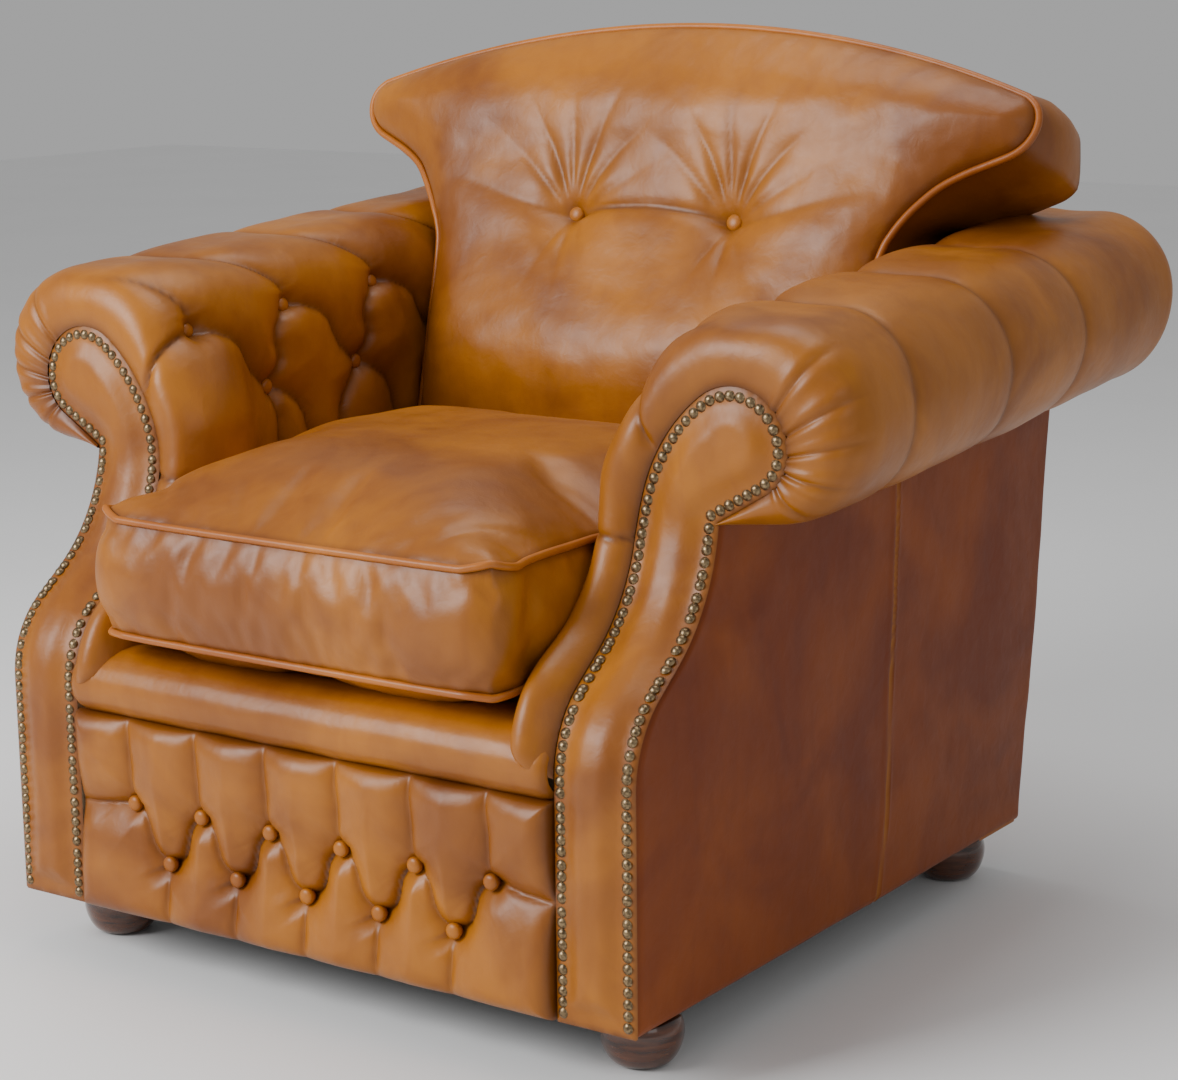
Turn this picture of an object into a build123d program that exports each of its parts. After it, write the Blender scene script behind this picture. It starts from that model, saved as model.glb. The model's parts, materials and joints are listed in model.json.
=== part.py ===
from build123d import *
import math
import os

# Leather armchair with scroll arms, a crowned "mushroom" back and a loose seat cushion.
# +X is the sitter's left side as seen from the front (the viewer's right), +Y is the back, +Z is up.
# The origin is on the floor, at the middle of the whole chair's width and depth.
# Depths below are measured back from the facing plane, the lower front of the arms.

# ---- driving dimensions, millimetres ----
# overall
BASE_Z = 62.0              # underside of the frame
DECK_Z = 345.0             # top of the seat platform
CREST_Z = 895.0            # top of the outside back
REAR_FOOT_DEPTH = 797.0    # outside back at the base
REAR_RAKE = 0.127          # backward lean of the outside back, depth per height
# arm fronts: in side view an S of two arcs, swept back above the seat platform
SWEEP_ANGLE = math.radians(53.0)
SWEEP_START_Z = 299.0
SWEEP_LOW_R = 101.0
SWEEP_HIGH_R = 180.0
SWEEP_DEPTH = 143.0
# scroll facing, front view
NAIL_IN_X = 315.0
NAIL_OUT_X = 388.0
NAIL_LOW_Z = 71.0
SCROLL_TURN_Z = 500.0
HEAD_X = 411.5
HEAD_Z = 596.5
HEAD_R = 49.5
HEAD_TAIL_R = 38.0
HEAD_TAIL_ANGLE = math.radians(-59.0)
FACING_MARGIN = 9.0
FACING_THICK = 3.0
NAIL_PITCH = 11.3
NAIL_R = 5.5
NAIL_HEIGHT = 3.0
# arms
ARM_INNER_X = 298.0
ARM_OUTER_X = 396.0
ARM_FRAME_IN_X = 332.0
ROLL_R = 100.0
ROLL_OUT_X = 446.0
ROLL_IN_X = 398.0
ROLL_CENTRE_Z = 617.0      # at SWEEP_DEPTH behind the facing plane
ROLL_RISE = 0.0664         # rise of the arm towards the back, height per depth
ROLL_LOW_IN_Z = 560.0
ROLL_REAR_R = 30.0
BORDER_DEPTH = 40.0        # thickness of the padded border round the facing
BORDER_PROUD = 6.0
BORDER_IN_X = 287.0
# seat cushion
SEAT_HALF_W = 285.0
SEAT_FRONT = -18.0
SEAT_BACK = 533.0
SEAT_LOW_Z = 346.0
SEAT_PIPE_LOW_Z = 370.0
SEAT_PIPE_TOP_Z = 490.0
SEAT_CROWN_Z = 546.0
SEAT_CORNER_R = 28.0
COVER_THICK = 1.6
PIPE_R = 3.0
CORD_ROOM = 2 * PIPE_R + 0.1   # the border stands in from the cushion's outline by its cords
# back
BACK_HALF_W = 293.0
BACK_RAKE = 0.218
BACK_FOOT_DEPTH = 545.0    # piping line at deck height
BACK_BEND_Z = 705.0
BACK_TOP_RAKE = 0.46
BACK_CROWN = 10.0          # how far the pad stands in front of its piping
BACK_TOP_Z = 960.0
BACK_REAR_DEPTH = 812.0
NECK_R = 88.0
NECK_TURN = math.radians(115.0)
EAR_X = 447.0
EAR_Z = 860.0
EAR_LOW = (425.0, 828.0)
EAR_HIGH = (418.0, 890.0)
SKIN = 3.0
# frame timber
RAIL = 28.0
RAIL_LOW_Z = 90.0
RAIL_TOP_Z = 296.0
SIDE_RAIL_TOP_Z = 200.0
POST_IN_X = 305.0
POST_OUT_X = 345.0
FRAME_GAP = 6.0            # outside skin to timber
FRAME_DEPTH = 44.0
# front skirt
SKIRT_HALF_W = 302.0
SKIRT_PROUD = 8.0
SKIRT_TOP_Z = 275.0
LIP_PROUD = 12.0
LIP_DEPTH = 58.0
BUTTON_R = 10.5
BUTTON_HEIGHT = 4.5
# feet
FOOT_R = 41.5
FOOT_BASE_R = 26.0
FOOT_NECK_R = 31.0
GLIDE_R = 14.0
GLIDE_THICK = 2.0
FOOT_PLACES = {
    "foot_front_left": (-342.0, 89.0),
    "foot_front_right": (342.0, 89.0),
    "foot_rear_left": (-335.0, 736.0),
    "foot_rear_right": (335.0, 736.0),
}
BOLT_R = 4.0
# springs
SPRING_XS = (-210.0, -105.0, 0.0, 105.0, 210.0)
SPRING_WIRE_R = 1.9
SPRING_HALF_W = 16.0
SPRING_TURN_R = 11.0
SPRING_TURNS = 32
SPRING_Z = 302.0

REAR_DEPTH = REAR_FOOT_DEPTH + REAR_RAKE * (CREST_Z - BASE_Z)
FACE_Y = -(REAR_DEPTH + SEAT_FRONT) / 2.0   # row Y of the facing plane


# ---- helpers ----
def rear_depth(z):
    """Depth of the outside back at height z."""
    return REAR_FOOT_DEPTH + REAR_RAKE * (z - BASE_Z)


def roll_rise(depth):
    """How much higher the arm is at a depth than at the facing's upper part."""
    return ROLL_RISE * (depth - SWEEP_DEPTH)


def face_of(edges):
    """Plane face inside a closed chain of edges."""
    return Face(Wire(edges))


def polygon(points):
    """Plane face inside a closed list of points."""
    return make_face(Polyline(*points, close=True))


def side_prism(face, x0, x1):
    """A side-view face (depth, height) extruded across from x0 to x1."""
    return Pos(x0, FACE_Y, 0) * extrude(Plane.YZ * face, x1 - x0, dir=(1, 0, 0))


def front_prism(face, depth0, depth1):
    """A front-view face (x, height) extruded back from depth0 to depth1."""
    return Pos(0, FACE_Y + depth0, 0) * extrude(Plane.XZ * face, depth1 - depth0, dir=(0, 1, 0))


def block(x0, x1, depth0, depth1, z0, z1):
    """Box between two corners, given in x, depth and height."""
    size = (x1 - x0, depth1 - depth0, z1 - z0)
    middle = ((x0 + x1) / 2, FACE_Y + (depth0 + depth1) / 2, (z0 + z1) / 2)
    return Pos(*middle) * Box(*size)


def raked_board(x0, x1, z0, z1, thick=RAIL, gap=FRAME_GAP):
    """Board that leans with the outside back, its rear face a gap in front of it."""
    points = [(rear_depth(z0) - gap - thick, z0), (rear_depth(z0) - gap, z0),
              (rear_depth(z1) - gap, z1), (rear_depth(z1) - gap - thick, z1)]
    return side_prism(polygon(points), x0, x1)


def flip(shape):
    """The same piece on the other side of the chair."""
    return mirror(shape, Plane.YZ)


def group(shapes):
    """Several separate solids as one compound."""
    solids = []
    for shape in shapes:
        solids += list(shape.solids())
    return Compound(children=solids)


def save(name, shape):
    """Write one named node."""
    export_step(shape, "parts/" + name + ".step")


def save_pair(name, right):
    """Write a piece of the right arm and its mirror image."""
    save(name + "_right", right)
    save(name + "_left", flip(right))


# ---- swept arm front ----
SWEEP_RUN = ((SWEEP_DEPTH - (SWEEP_LOW_R + SWEEP_HIGH_R) * (1 - math.cos(SWEEP_ANGLE)))
             / math.sin(SWEEP_ANGLE))
SWEEP_END_Z = (SWEEP_START_Z + (SWEEP_LOW_R + SWEEP_HIGH_R) * math.sin(SWEEP_ANGLE)
               + SWEEP_RUN * math.cos(SWEEP_ANGLE))


def sweep_depth(z):
    """Depth and lean angle of the arm front at height z."""
    low_z = SWEEP_START_Z + SWEEP_LOW_R * math.sin(SWEEP_ANGLE)
    high_z = SWEEP_END_Z - SWEEP_HIGH_R * math.sin(SWEEP_ANGLE)
    if z <= SWEEP_START_Z:
        return 0.0, 0.0
    if z <= low_z:
        lean = math.asin((z - SWEEP_START_Z) / SWEEP_LOW_R)
        return SWEEP_LOW_R * (1 - math.cos(lean)), lean
    if z <= high_z:
        start = SWEEP_LOW_R * (1 - math.cos(SWEEP_ANGLE))
        return start + (z - low_z) * math.tan(SWEEP_ANGLE), SWEEP_ANGLE
    if z <= SWEEP_END_Z:
        lean = math.asin((SWEEP_END_Z - z) / SWEEP_HIGH_R)
        return SWEEP_DEPTH - SWEEP_HIGH_R * (1 - math.cos(lean)), lean
    return SWEEP_DEPTH, 0.0


def sweep_edges(offset, z0, z1):
    """Side-view line of the arm front, moved back by offset, from z0 up to z1."""
    def low_arc(angle):
        reach = SWEEP_LOW_R - offset
        return (SWEEP_LOW_R - reach * math.cos(angle), SWEEP_START_Z + reach * math.sin(angle))

    def high_arc(angle):
        reach = SWEEP_HIGH_R + offset
        return (SWEEP_DEPTH - SWEEP_HIGH_R + reach * math.cos(angle),
                SWEEP_END_Z - reach * math.sin(angle))

    return [
        Line((offset, z0), low_arc(0)),
        ThreePointArc(low_arc(0), low_arc(SWEEP_ANGLE / 2), low_arc(SWEEP_ANGLE)),
        Line(low_arc(SWEEP_ANGLE), high_arc(SWEEP_ANGLE)),
        ThreePointArc(high_arc(SWEEP_ANGLE), high_arc(SWEEP_ANGLE / 2), high_arc(0)),
        Line(high_arc(0), (SWEEP_DEPTH + offset, z1)),
    ]


def sweep_slab(offset0, offset1, z0, z1, x0, x1):
    """Slab that follows the arm front between two offsets."""
    front = sweep_edges(offset0, z0, z1)
    rear = sweep_edges(offset1, z0, z1)
    ends = [Line((offset0, z0), (offset1, z0)),
            Line((SWEEP_DEPTH + offset0, z1), (SWEEP_DEPTH + offset1, z1))]
    return side_prism(face_of(front + rear + ends), x0, x1)


# ---- scroll facing and nails ----
def nail_line():
    """Front-view line of the nails: up the inner edge, round the head, down the outer edge."""
    a = HEAD_X - NAIL_IN_X
    b = HEAD_Z - SCROLL_TURN_Z
    turn_r = (a * a + b * b - HEAD_R * HEAD_R) / (2 * (a - HEAD_R))
    turn_x = NAIL_IN_X + turn_r
    meet = math.atan2(b, HEAD_X - turn_x)
    half = (math.pi + meet) / 2
    head_mid = meet / 2
    tail_x = HEAD_X + HEAD_R - HEAD_TAIL_R

    def on_circle(cx, cz, r, angle):
        return (cx + r * math.cos(angle), cz + r * math.sin(angle))

    tail_end = on_circle(tail_x, HEAD_Z, HEAD_TAIL_R, HEAD_TAIL_ANGLE)
    notch_z = tail_end[1] - (tail_end[0] - NAIL_OUT_X) * math.tan(HEAD_TAIL_ANGLE + math.pi / 2)
    meet_point = on_circle(HEAD_X, HEAD_Z, HEAD_R, meet)
    head_right = (HEAD_X + HEAD_R, HEAD_Z)
    return [
        Line((NAIL_IN_X, NAIL_LOW_Z), (NAIL_IN_X, SCROLL_TURN_Z)),
        ThreePointArc((NAIL_IN_X, SCROLL_TURN_Z),
                      on_circle(turn_x, SCROLL_TURN_Z, turn_r, half), meet_point),
        ThreePointArc(meet_point, on_circle(HEAD_X, HEAD_Z, HEAD_R, head_mid), head_right),
        ThreePointArc(head_right,
                      on_circle(tail_x, HEAD_Z, HEAD_TAIL_R, HEAD_TAIL_ANGLE / 2), tail_end),
        Line(tail_end, (NAIL_OUT_X, notch_z)),
        Line((NAIL_OUT_X, notch_z), (NAIL_OUT_X, NAIL_LOW_Z)),
    ]


def facing_face(margin):
    """Front-view face of the scroll facing, a margin outside the nail line."""
    foot = Line((NAIL_IN_X, NAIL_LOW_Z), (NAIL_OUT_X, NAIL_LOW_Z))
    return offset(face_of(nail_line() + [foot]), margin)


def dome(radius, height):
    """Domed head with a flat underside at the origin, facing -Y."""
    sphere_r = (radius * radius + height * height) / (2 * height)
    ball = Pos(0, sphere_r - height, 0) * Sphere(sphere_r)
    return ball & (Pos(0, -sphere_r, 0) * Box(4 * radius, 2 * sphere_r, 4 * radius))


def nail_places():
    """Evenly pitched nail places (x, depth, z, lean) along the swept facing."""
    samples_per_edge = 160
    points = []
    for edge in nail_line():
        for i in range(samples_per_edge):
            p = edge @ (i / samples_per_edge)
            points.append((p.X, sweep_depth(p.Y)[0], p.Y))
    places = []
    travelled = NAIL_PITCH
    for before, after in zip(points, points[1:]):
        travelled += math.dist(before, after)
        if travelled >= NAIL_PITCH:
            travelled -= NAIL_PITCH
            places.append(after + (sweep_depth(after[2])[1],))
    return places


def facing_nails():
    """Domed nail heads on the right facing."""
    head = dome(NAIL_R, NAIL_HEIGHT)
    lift = FACING_THICK + 0.2
    nails = []
    for x, depth, z, lean in nail_places():
        y = FACE_Y + depth - lift * math.cos(lean)
        turn = Location((x, y, z + lift * math.sin(lean)), (-math.degrees(lean), 0, 0))
        nails.append(turn * head)
    return group(nails)


def facing():
    """Leather-covered scroll facing."""
    slab = sweep_slab(-FACING_THICK, 0, BASE_Z, HEAD_Z + 2 * HEAD_R, 250, 520)
    return slab & front_prism(facing_face(FACING_MARGIN), -20, SWEEP_DEPTH + 20)


def scroll_board():
    """Shaped timber board behind the facing."""
    thick = 20.0
    slab = sweep_slab(0, thick, BASE_Z, HEAD_Z + 2 * HEAD_R, 250, 520)
    return slab & front_prism(facing_face(FACING_MARGIN - SKIN), -20, SWEEP_DEPTH + 40)


# ---- arms ----
def roll_face(low_in_z=ROLL_LOW_IN_Z):
    """Section of the arm: inner wall, rounded top and scrolled outer roll."""
    top = ROLL_CENTRE_Z + ROLL_R
    low = ROLL_CENTRE_Z - ROLL_R
    diag = ROLL_R * math.sqrt(0.5)
    return face_of([
        Line((ARM_INNER_X, low_in_z), (ARM_INNER_X, ROLL_CENTRE_Z)),
        ThreePointArc((ARM_INNER_X, ROLL_CENTRE_Z), (ROLL_IN_X - diag, ROLL_CENTRE_Z + diag),
                      (ROLL_IN_X, top)),
        Line((ROLL_IN_X, top), (ROLL_OUT_X, top)),
        ThreePointArc((ROLL_OUT_X, top), (ROLL_OUT_X + ROLL_R, ROLL_CENTRE_Z), (ROLL_OUT_X, low)),
        Line((ROLL_OUT_X, low), (ARM_OUTER_X, low)),
        Line((ARM_OUTER_X, low), (ARM_OUTER_X, low_in_z)),
        Line((ARM_OUTER_X, low_in_z), (ARM_INNER_X, low_in_z)),
    ])


def rear_cut():
    """Everything behind the outside back's plane."""
    far = 400.0
    points = [(rear_depth(0), 0), (rear_depth(0) + far, 0),
              (rear_depth(1000) + far, 1000), (rear_depth(1000), 1000)]
    return side_prism(polygon(points), -700, 700)


def arm_roll(timber):
    """Padded arm roll, rising towards the back, cut round the timber inside it."""
    start = SWEEP_DEPTH + BORDER_DEPTH + 0.3
    length = REAR_DEPTH - start
    section = Pos(0, FACE_Y + start, roll_rise(start)) * (Plane.XZ * roll_face())
    roll = extrude(section, length, dir=(0, 1, ROLL_RISE)) - rear_cut()
    rear = roll.faces().sort_by(Axis.Y)[-1]
    roll = fillet(rear.edges().filter_by(GeomType.LINE, reverse=True), ROLL_REAR_R)
    for piece in timber:
        roll -= piece
    return roll


def ahead_of_sweep(offset):
    """Everything in front of the arm-front line moved back by offset."""
    far = -60.0
    low, high = DECK_Z - 300.0, 900.0
    outline = sweep_edges(offset, low, high) + [
        Line((offset, low), (far, low)),
        Line((far, low), (far, high)),
        Line((far, high), (SWEEP_DEPTH + offset, high)),
    ]
    return side_prism(face_of(outline), -700, 700)


def side_panel(z_low, z_front, z_rear, x0, x1, offset):
    """Upright panel between the arm front and the outside back, its top edge rising."""
    points = [(-20, z_low), (rear_depth(z_low), z_low), (rear_depth(z_rear), z_rear),
              (SWEEP_DEPTH, z_front), (-20, z_front)]
    return side_prism(polygon(points), x0, x1) - ahead_of_sweep(offset)


def inner_arm():
    """Tufted pad on the inside of the arm, from the platform up to the roll."""
    rear = rear_depth(ROLL_LOW_IN_Z) - FRAME_GAP
    pad = side_panel(DECK_Z, ROLL_LOW_IN_Z, ROLL_LOW_IN_Z + roll_rise(rear),
                     ARM_INNER_X, ARM_FRAME_IN_X, BORDER_DEPTH + 0.3)
    return pad - block(250, 400, BACK_REAR_DEPTH - 40, 1000, 300, 700)


def outside_arm():
    """Leather-covered outside panel of the arm, under the roll."""
    low = ROLL_CENTRE_Z - ROLL_R
    rear = REAR_FOOT_DEPTH + REAR_RAKE * (low + roll_rise(REAR_DEPTH) - BASE_Z)
    return side_panel(BASE_Z, low - 0.3, low + roll_rise(rear) - 0.3,
                      ARM_OUTER_X - 3.5, ARM_OUTER_X + 1.5, 0.3) - scroll_board()


def arm_front_border():
    """Padded leather border round the scroll facing, down to the platform."""
    top = ROLL_CENTRE_Z + ROLL_R + roll_rise(SWEEP_DEPTH + BORDER_DEPTH)
    low_z = DECK_Z + 1
    slab = (sweep_slab(-BORDER_PROUD, BORDER_DEPTH, BASE_Z, top + 20, 250, 560)
            & block(250, 560, -20, 300, low_z, top + 20))
    lift = Pos(0, 0, roll_rise(SWEEP_DEPTH + BORDER_DEPTH / 2))
    around = lift * front_prism(roll_face(SWEEP_START_Z), -20, 300)
    column = block(BORDER_IN_X, ARM_INNER_X + 1, -20, 300, low_z, ROLL_CENTRE_Z)
    outside = block(ARM_OUTER_X - 4, 560, -20, 300, 300, ROLL_CENTRE_Z - ROLL_R + 2)
    inside = front_prism(facing_face(FACING_MARGIN), -30, 320)
    return (slab & (around + column)) - inside - outside


def arm_button_places():
    """Depth and height of the tufting buttons on the inner arm."""
    upper = [(205.0 + i * 158.0, 655.0) for i in range(3)]
    lower = [(325.0 + i * 156.0, 577.0) for i in range(2)]
    return upper + lower


def arm_buttons():
    """Covered buttons on the inner arm, each square to the surface it sits on."""
    button = dome(BUTTON_R * 0.8, BUTTON_HEIGHT)
    places = []
    for depth, z in arm_button_places():
        above = max(0.0, z - ROLL_CENTRE_Z - roll_rise(depth) + 25)
        lean = math.asin(above / ROLL_R)
        reach = ROLL_R + 0.4
        x = ROLL_IN_X - reach * math.cos(lean)
        height = ROLL_CENTRE_Z + roll_rise(depth) + reach * math.sin(lean)
        if above == 0.0:
            height = z + roll_rise(depth)
        spin = Location((x, FACE_Y + depth, height), (0, math.degrees(lean), 0))
        places.append(spin * Rot(0, 0, -90) * button)
    return group(places)


# ---- back ----
def piping_edges(advance, z0, z1):
    """Side-view line of the back's front edge, moved forward by advance."""
    bend = BACK_FOOT_DEPTH + BACK_RAKE * (BACK_BEND_Z - DECK_Z) - advance
    top = bend + BACK_TOP_RAKE * (z1 - BACK_BEND_Z)
    blend_z = (z1 - BACK_BEND_Z) / 2
    middle = (bend + (BACK_RAKE + 0.1) * blend_z, BACK_BEND_Z + blend_z)
    foot = bend - BACK_RAKE * (BACK_BEND_Z - z0)
    return [
        Line((foot, z0), (bend, BACK_BEND_Z)),
        ThreePointArc((bend, BACK_BEND_Z), middle, (top, z1)),
    ]


def back_slab(advance, z0, z1):
    """Everything from the back's front edge to the rear of its border."""
    front = piping_edges(advance, z0, z1)
    clear = FRAME_GAP + FRAME_DEPTH + 5.0
    kink_z = BASE_Z + (BACK_REAR_DEPTH + clear - REAR_FOOT_DEPTH) / REAR_RAKE
    rear = [
        Line(front[1] @ 1, (BACK_REAR_DEPTH, z1)),
        Line((BACK_REAR_DEPTH, z1), (BACK_REAR_DEPTH, kink_z)),
        Line((BACK_REAR_DEPTH, kink_z), (rear_depth(z0) - clear, z0)),
        Line((rear_depth(z0) - clear, z0), front[0] @ 0),
    ]
    return side_prism(face_of(front + rear), -500, 500)


def crown_face(shrink=0.0):
    """Front view of the back: straight between the arms, eared above them."""
    neck_x = BACK_HALF_W + NECK_R
    neck_end = (neck_x + NECK_R * math.cos(NECK_TURN), BACK_BEND_Z + NECK_R * math.sin(NECK_TURN))
    half_turn = (math.pi + NECK_TURN) / 2
    neck_mid = (neck_x + NECK_R * math.cos(half_turn), BACK_BEND_Z + NECK_R * math.sin(half_turn))

    def side(sign):
        def at(point):
            return (sign * point[0], point[1])
        return [
            Line(at((BACK_HALF_W, DECK_Z)), at((BACK_HALF_W, BACK_BEND_Z))),
            ThreePointArc(at((BACK_HALF_W, BACK_BEND_Z)), at(neck_mid), at(neck_end)),
            Line(at(neck_end), at(EAR_LOW)),
            ThreePointArc(at(EAR_LOW), at((EAR_X, EAR_Z)), at(EAR_HIGH)),
        ]

    top = ThreePointArc(EAR_HIGH, (0, BACK_TOP_Z), (-EAR_HIGH[0], EAR_HIGH[1]))
    foot = Line((BACK_HALF_W, DECK_Z), (-BACK_HALF_W, DECK_Z))
    face = face_of(side(1) + side(-1) + [top, foot])
    return offset(face, -shrink) if shrink else face


def back_pad():
    """Crowned front cushion of the back, fixed to the frame."""
    return back_slab(BACK_CROWN, DECK_Z, 1000) & front_prism(crown_face(SKIN), 400, 900)


def back_border():
    """Leather border strip round the back pad."""
    return (back_slab(0, DECK_Z, 1000) & front_prism(crown_face(), 400, 900)) - back_pad()


def back_piping():
    """Piping cord along the front edge of the back."""
    low = DECK_Z + 1
    outer = front_prism(offset(crown_face(), PIPE_R), 400, 900)
    inner = front_prism(offset(crown_face(), -PIPE_R), 400, 900)
    cord = sweep_band(2 * PIPE_R, 0.2) & (outer - inner)
    return cord & block(-500, 500, 0, 900, low, 1000)


def sweep_band(front, rear):
    """Band just ahead of the back's front edge line."""
    low, high = DECK_Z, 1000
    ahead = piping_edges(front, low, high)
    behind = piping_edges(rear, low, high)
    ends = [Line(ahead[0] @ 0, behind[0] @ 0), Line(ahead[1] @ 1, behind[1] @ 1)]
    return side_prism(face_of(ahead + behind + ends), -500, 500)


def back_buttons():
    """Two covered buttons in the back pad."""
    z = 746.0
    lean = math.degrees(math.atan(BACK_RAKE + 0.04))
    depth = (piping_edges(BACK_CROWN, DECK_Z, 1000)[1] @ 0.16).X
    button = dome(BUTTON_R * 1.25, BUTTON_HEIGHT)
    return group(Location((x, FACE_Y + depth - 2.0, z), (-lean, 0, 0)) * button
                 for x in (-107.0, 107.0))


def crest_face(low_z, half_w, top_z, shrink=0.0):
    """Front view of the frame above the arms, with a curved crest."""
    shoulder = (345.0 - shrink, 812.0 - shrink)
    neck = (half_w, 770.0)
    left_shoulder = (-shoulder[0], shoulder[1])
    return face_of([
        Line((-half_w, low_z), (half_w, low_z)),
        Line((half_w, low_z), neck),
        Line(neck, (shoulder[0], 792.0)),
        Line((shoulder[0], 792.0), shoulder),
        ThreePointArc(shoulder, (0, top_z - shrink), left_shoulder),
        Line(left_shoulder, (-shoulder[0], 792.0)),
        Line((-shoulder[0], 792.0), (-neck[0], neck[1])),
        Line((-neck[0], neck[1]), (-half_w, low_z)),
    ])


def raked_zone(gap, thick, z0, z1):
    """Raked slab across the whole chair."""
    return raked_board(-500, 500, z0, z1, thick=thick, gap=gap)


def crest_rail():
    """Curved top rail of the frame."""
    return (raked_zone(FRAME_GAP, FRAME_DEPTH, 780, 1000)
            & front_prism(crest_face(780, 296, CREST_Z, 8.0), 700, 1000)
            & block(-500, 500, 700, 1000, 796, 1000))


def crest_padding(inside):
    """Padding between the back cushion and the outside back, round the timber."""
    low_z = 640.0
    far = [(BACK_REAR_DEPTH + 0.3, low_z), (rear_depth(low_z) - SKIN, low_z),
           (rear_depth(1000) - SKIN, 1000), (BACK_REAR_DEPTH + 0.3, 1000)]
    padding = (side_prism(polygon(far), -500, 500)
               & front_prism(crest_face(low_z, 296, CREST_Z), 700, 1000))
    for piece in inside:
        padding -= piece
    return padding


def outside_back():
    """Leather panel on the back of the frame."""
    low_top = ROLL_CENTRE_Z - ROLL_R + roll_rise(rear_depth(ROLL_CENTRE_Z)) - 2.0
    low = polygon([(-ARM_OUTER_X + 5, BASE_Z), (ARM_OUTER_X - 5, BASE_Z),
                   (ARM_OUTER_X - 5, low_top), (-ARM_OUTER_X + 5, low_top)])
    high = crest_face(low_top - 1, 296, CREST_Z)
    return raked_zone(0, SKIN, 0, 1000) & (front_prism(low, 700, 1000) + front_prism(high, 700, 1000))


# ---- timber frame ----
def drill_x(x0, x1, depth, z, radius=BOLT_R):
    """Cylinder along X."""
    middle = ((x0 + x1) / 2, FACE_Y + depth, z)
    return Location(middle, (0, 90, 0)) * Cylinder(radius, x1 - x0)


RAIL_BOLT_SPOTS = [(42.0, 120.0), (42.0, 170.0), (775.0, 120.0), (781.0, 170.0)]


def rail_bolts():
    """Bolts that hold the side rails to the posts, with round heads outside."""
    bolts = []
    for depth, z in RAIL_BOLT_SPOTS:
        shank = drill_x(POST_IN_X + 8, POST_OUT_X + RAIL, depth, z)
        head = drill_x(POST_OUT_X + RAIL, POST_OUT_X + RAIL + 3.0, depth, z, 2 * BOLT_R)
        bolts.append(shank + head)
    return bolts


def drilled(timber, bolts):
    """Timber with a hole for every bolt."""
    for bolt in bolts:
        timber -= bolt
    return timber


def front_post():
    return block(POST_IN_X, POST_OUT_X, 20.3, 62, RAIL_LOW_Z, SWEEP_START_Z)


def rear_post():
    return raked_board(POST_IN_X, POST_OUT_X, RAIL_LOW_Z, 795.0, thick=FRAME_DEPTH)


def side_rail():
    z0, z1 = RAIL_LOW_Z, SIDE_RAIL_TOP_Z
    points = [(20.3, z0), (rear_depth(z0) - FRAME_GAP, z0),
              (rear_depth(z1) - FRAME_GAP, z1), (20.3, z1)]
    return side_prism(polygon(points), POST_OUT_X, POST_OUT_X + RAIL)


def arm_post():
    top = ROLL_LOW_IN_Z + roll_rise(240) + 2
    return block(348, 388, 200, 240, SIDE_RAIL_TOP_Z + 0.2, top)


def arm_top_rail():
    z0 = ROLL_LOW_IN_Z + 4
    front = SWEEP_DEPTH + BORDER_DEPTH + 2
    rear = rear_depth(620) - FRAME_GAP
    points = [(front, z0 + roll_rise(front)), (rear, z0 + roll_rise(rear)),
              (rear, z0 + RAIL + roll_rise(rear)), (front, z0 + RAIL + roll_rise(front))]
    return side_prism(polygon(points), POST_OUT_X + 0.2, ARM_OUTER_X - 8)


def arm_tack_rail():
    z0, z1 = 300.0, 340.0
    points = [(62.0, z0), (rear_depth(z0) - FRAME_GAP - FRAME_DEPTH, z0),
              (rear_depth(z1) - FRAME_GAP - FRAME_DEPTH, z1), (62.0, z1)]
    return side_prism(polygon(points), 317, POST_OUT_X)


def front_rail():
    return block(-POST_IN_X, POST_IN_X, 16, 16 + RAIL, RAIL_LOW_Z, RAIL_TOP_Z)


def back_rail():
    return raked_board(-POST_IN_X, POST_IN_X, RAIL_LOW_Z, RAIL_TOP_Z)


def back_stay_rail():
    return raked_board(-POST_IN_X, POST_IN_X, 340, 400)


def foot_bolts():
    """Bolts standing out of the tops of the feet, into the corner blocks."""
    return [Pos(x, FACE_Y + depth, 61.0) * Cylinder(BOLT_R, 54.0) for x, depth in FOOT_PLACES.values()]


def corner_blocks(bolts):
    """Blocks under the rails that carry the feet."""
    blocks = []
    for x, depth in FOOT_PLACES.values():
        side = math.copysign(1, x)
        x0, x1 = sorted((side * 288.0, side * 386.0))
        rear = min(depth + 45, rear_depth(BASE_Z) - FRAME_GAP)
        front = max(depth - 45, 21.0)
        blocks.append(drilled(block(x0, x1, front, rear, BASE_Z, RAIL_LOW_Z), bolts))
    return group(blocks)


# ---- suspension ----
def zigzag_spring():
    """Zigzag wire spring from the front rail to the back rail."""
    start, pitch = 30.0, 2 * SPRING_TURN_R
    edges = []
    for i in range(SPRING_TURNS):
        side = 1 if i % 2 == 0 else -1
        here = start + i * pitch
        a, b = (-side * SPRING_HALF_W, here), (side * SPRING_HALF_W, here)
        edges.append(Line(a, b))
        bulge = (side * (SPRING_HALF_W + SPRING_TURN_R), here + SPRING_TURN_R)
        edges.append(ThreePointArc(b, bulge, (side * SPRING_HALF_W, here + pitch)))
    path = Pos(0, FACE_Y, SPRING_Z) * Wire(edges)
    section = Plane(origin=path @ 0, z_dir=path % 0) * Circle(SPRING_WIRE_R)
    return sweep(section, path)


def spring_clips(spring):
    """Clips that hold both ends of each spring to the rails."""
    end = 30.0 + SPRING_TURNS * 2 * SPRING_TURN_R
    clips = []
    for x in SPRING_XS:
        for depth in (30.0, end - 11.0):
            clip = block(x - 9, x + 9, depth - 7, depth + 7, RAIL_TOP_Z + 0.2, SPRING_Z + 3.0)
            clips.append(clip - Pos(x, 0, 0) * spring)
    return group(clips)


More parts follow.
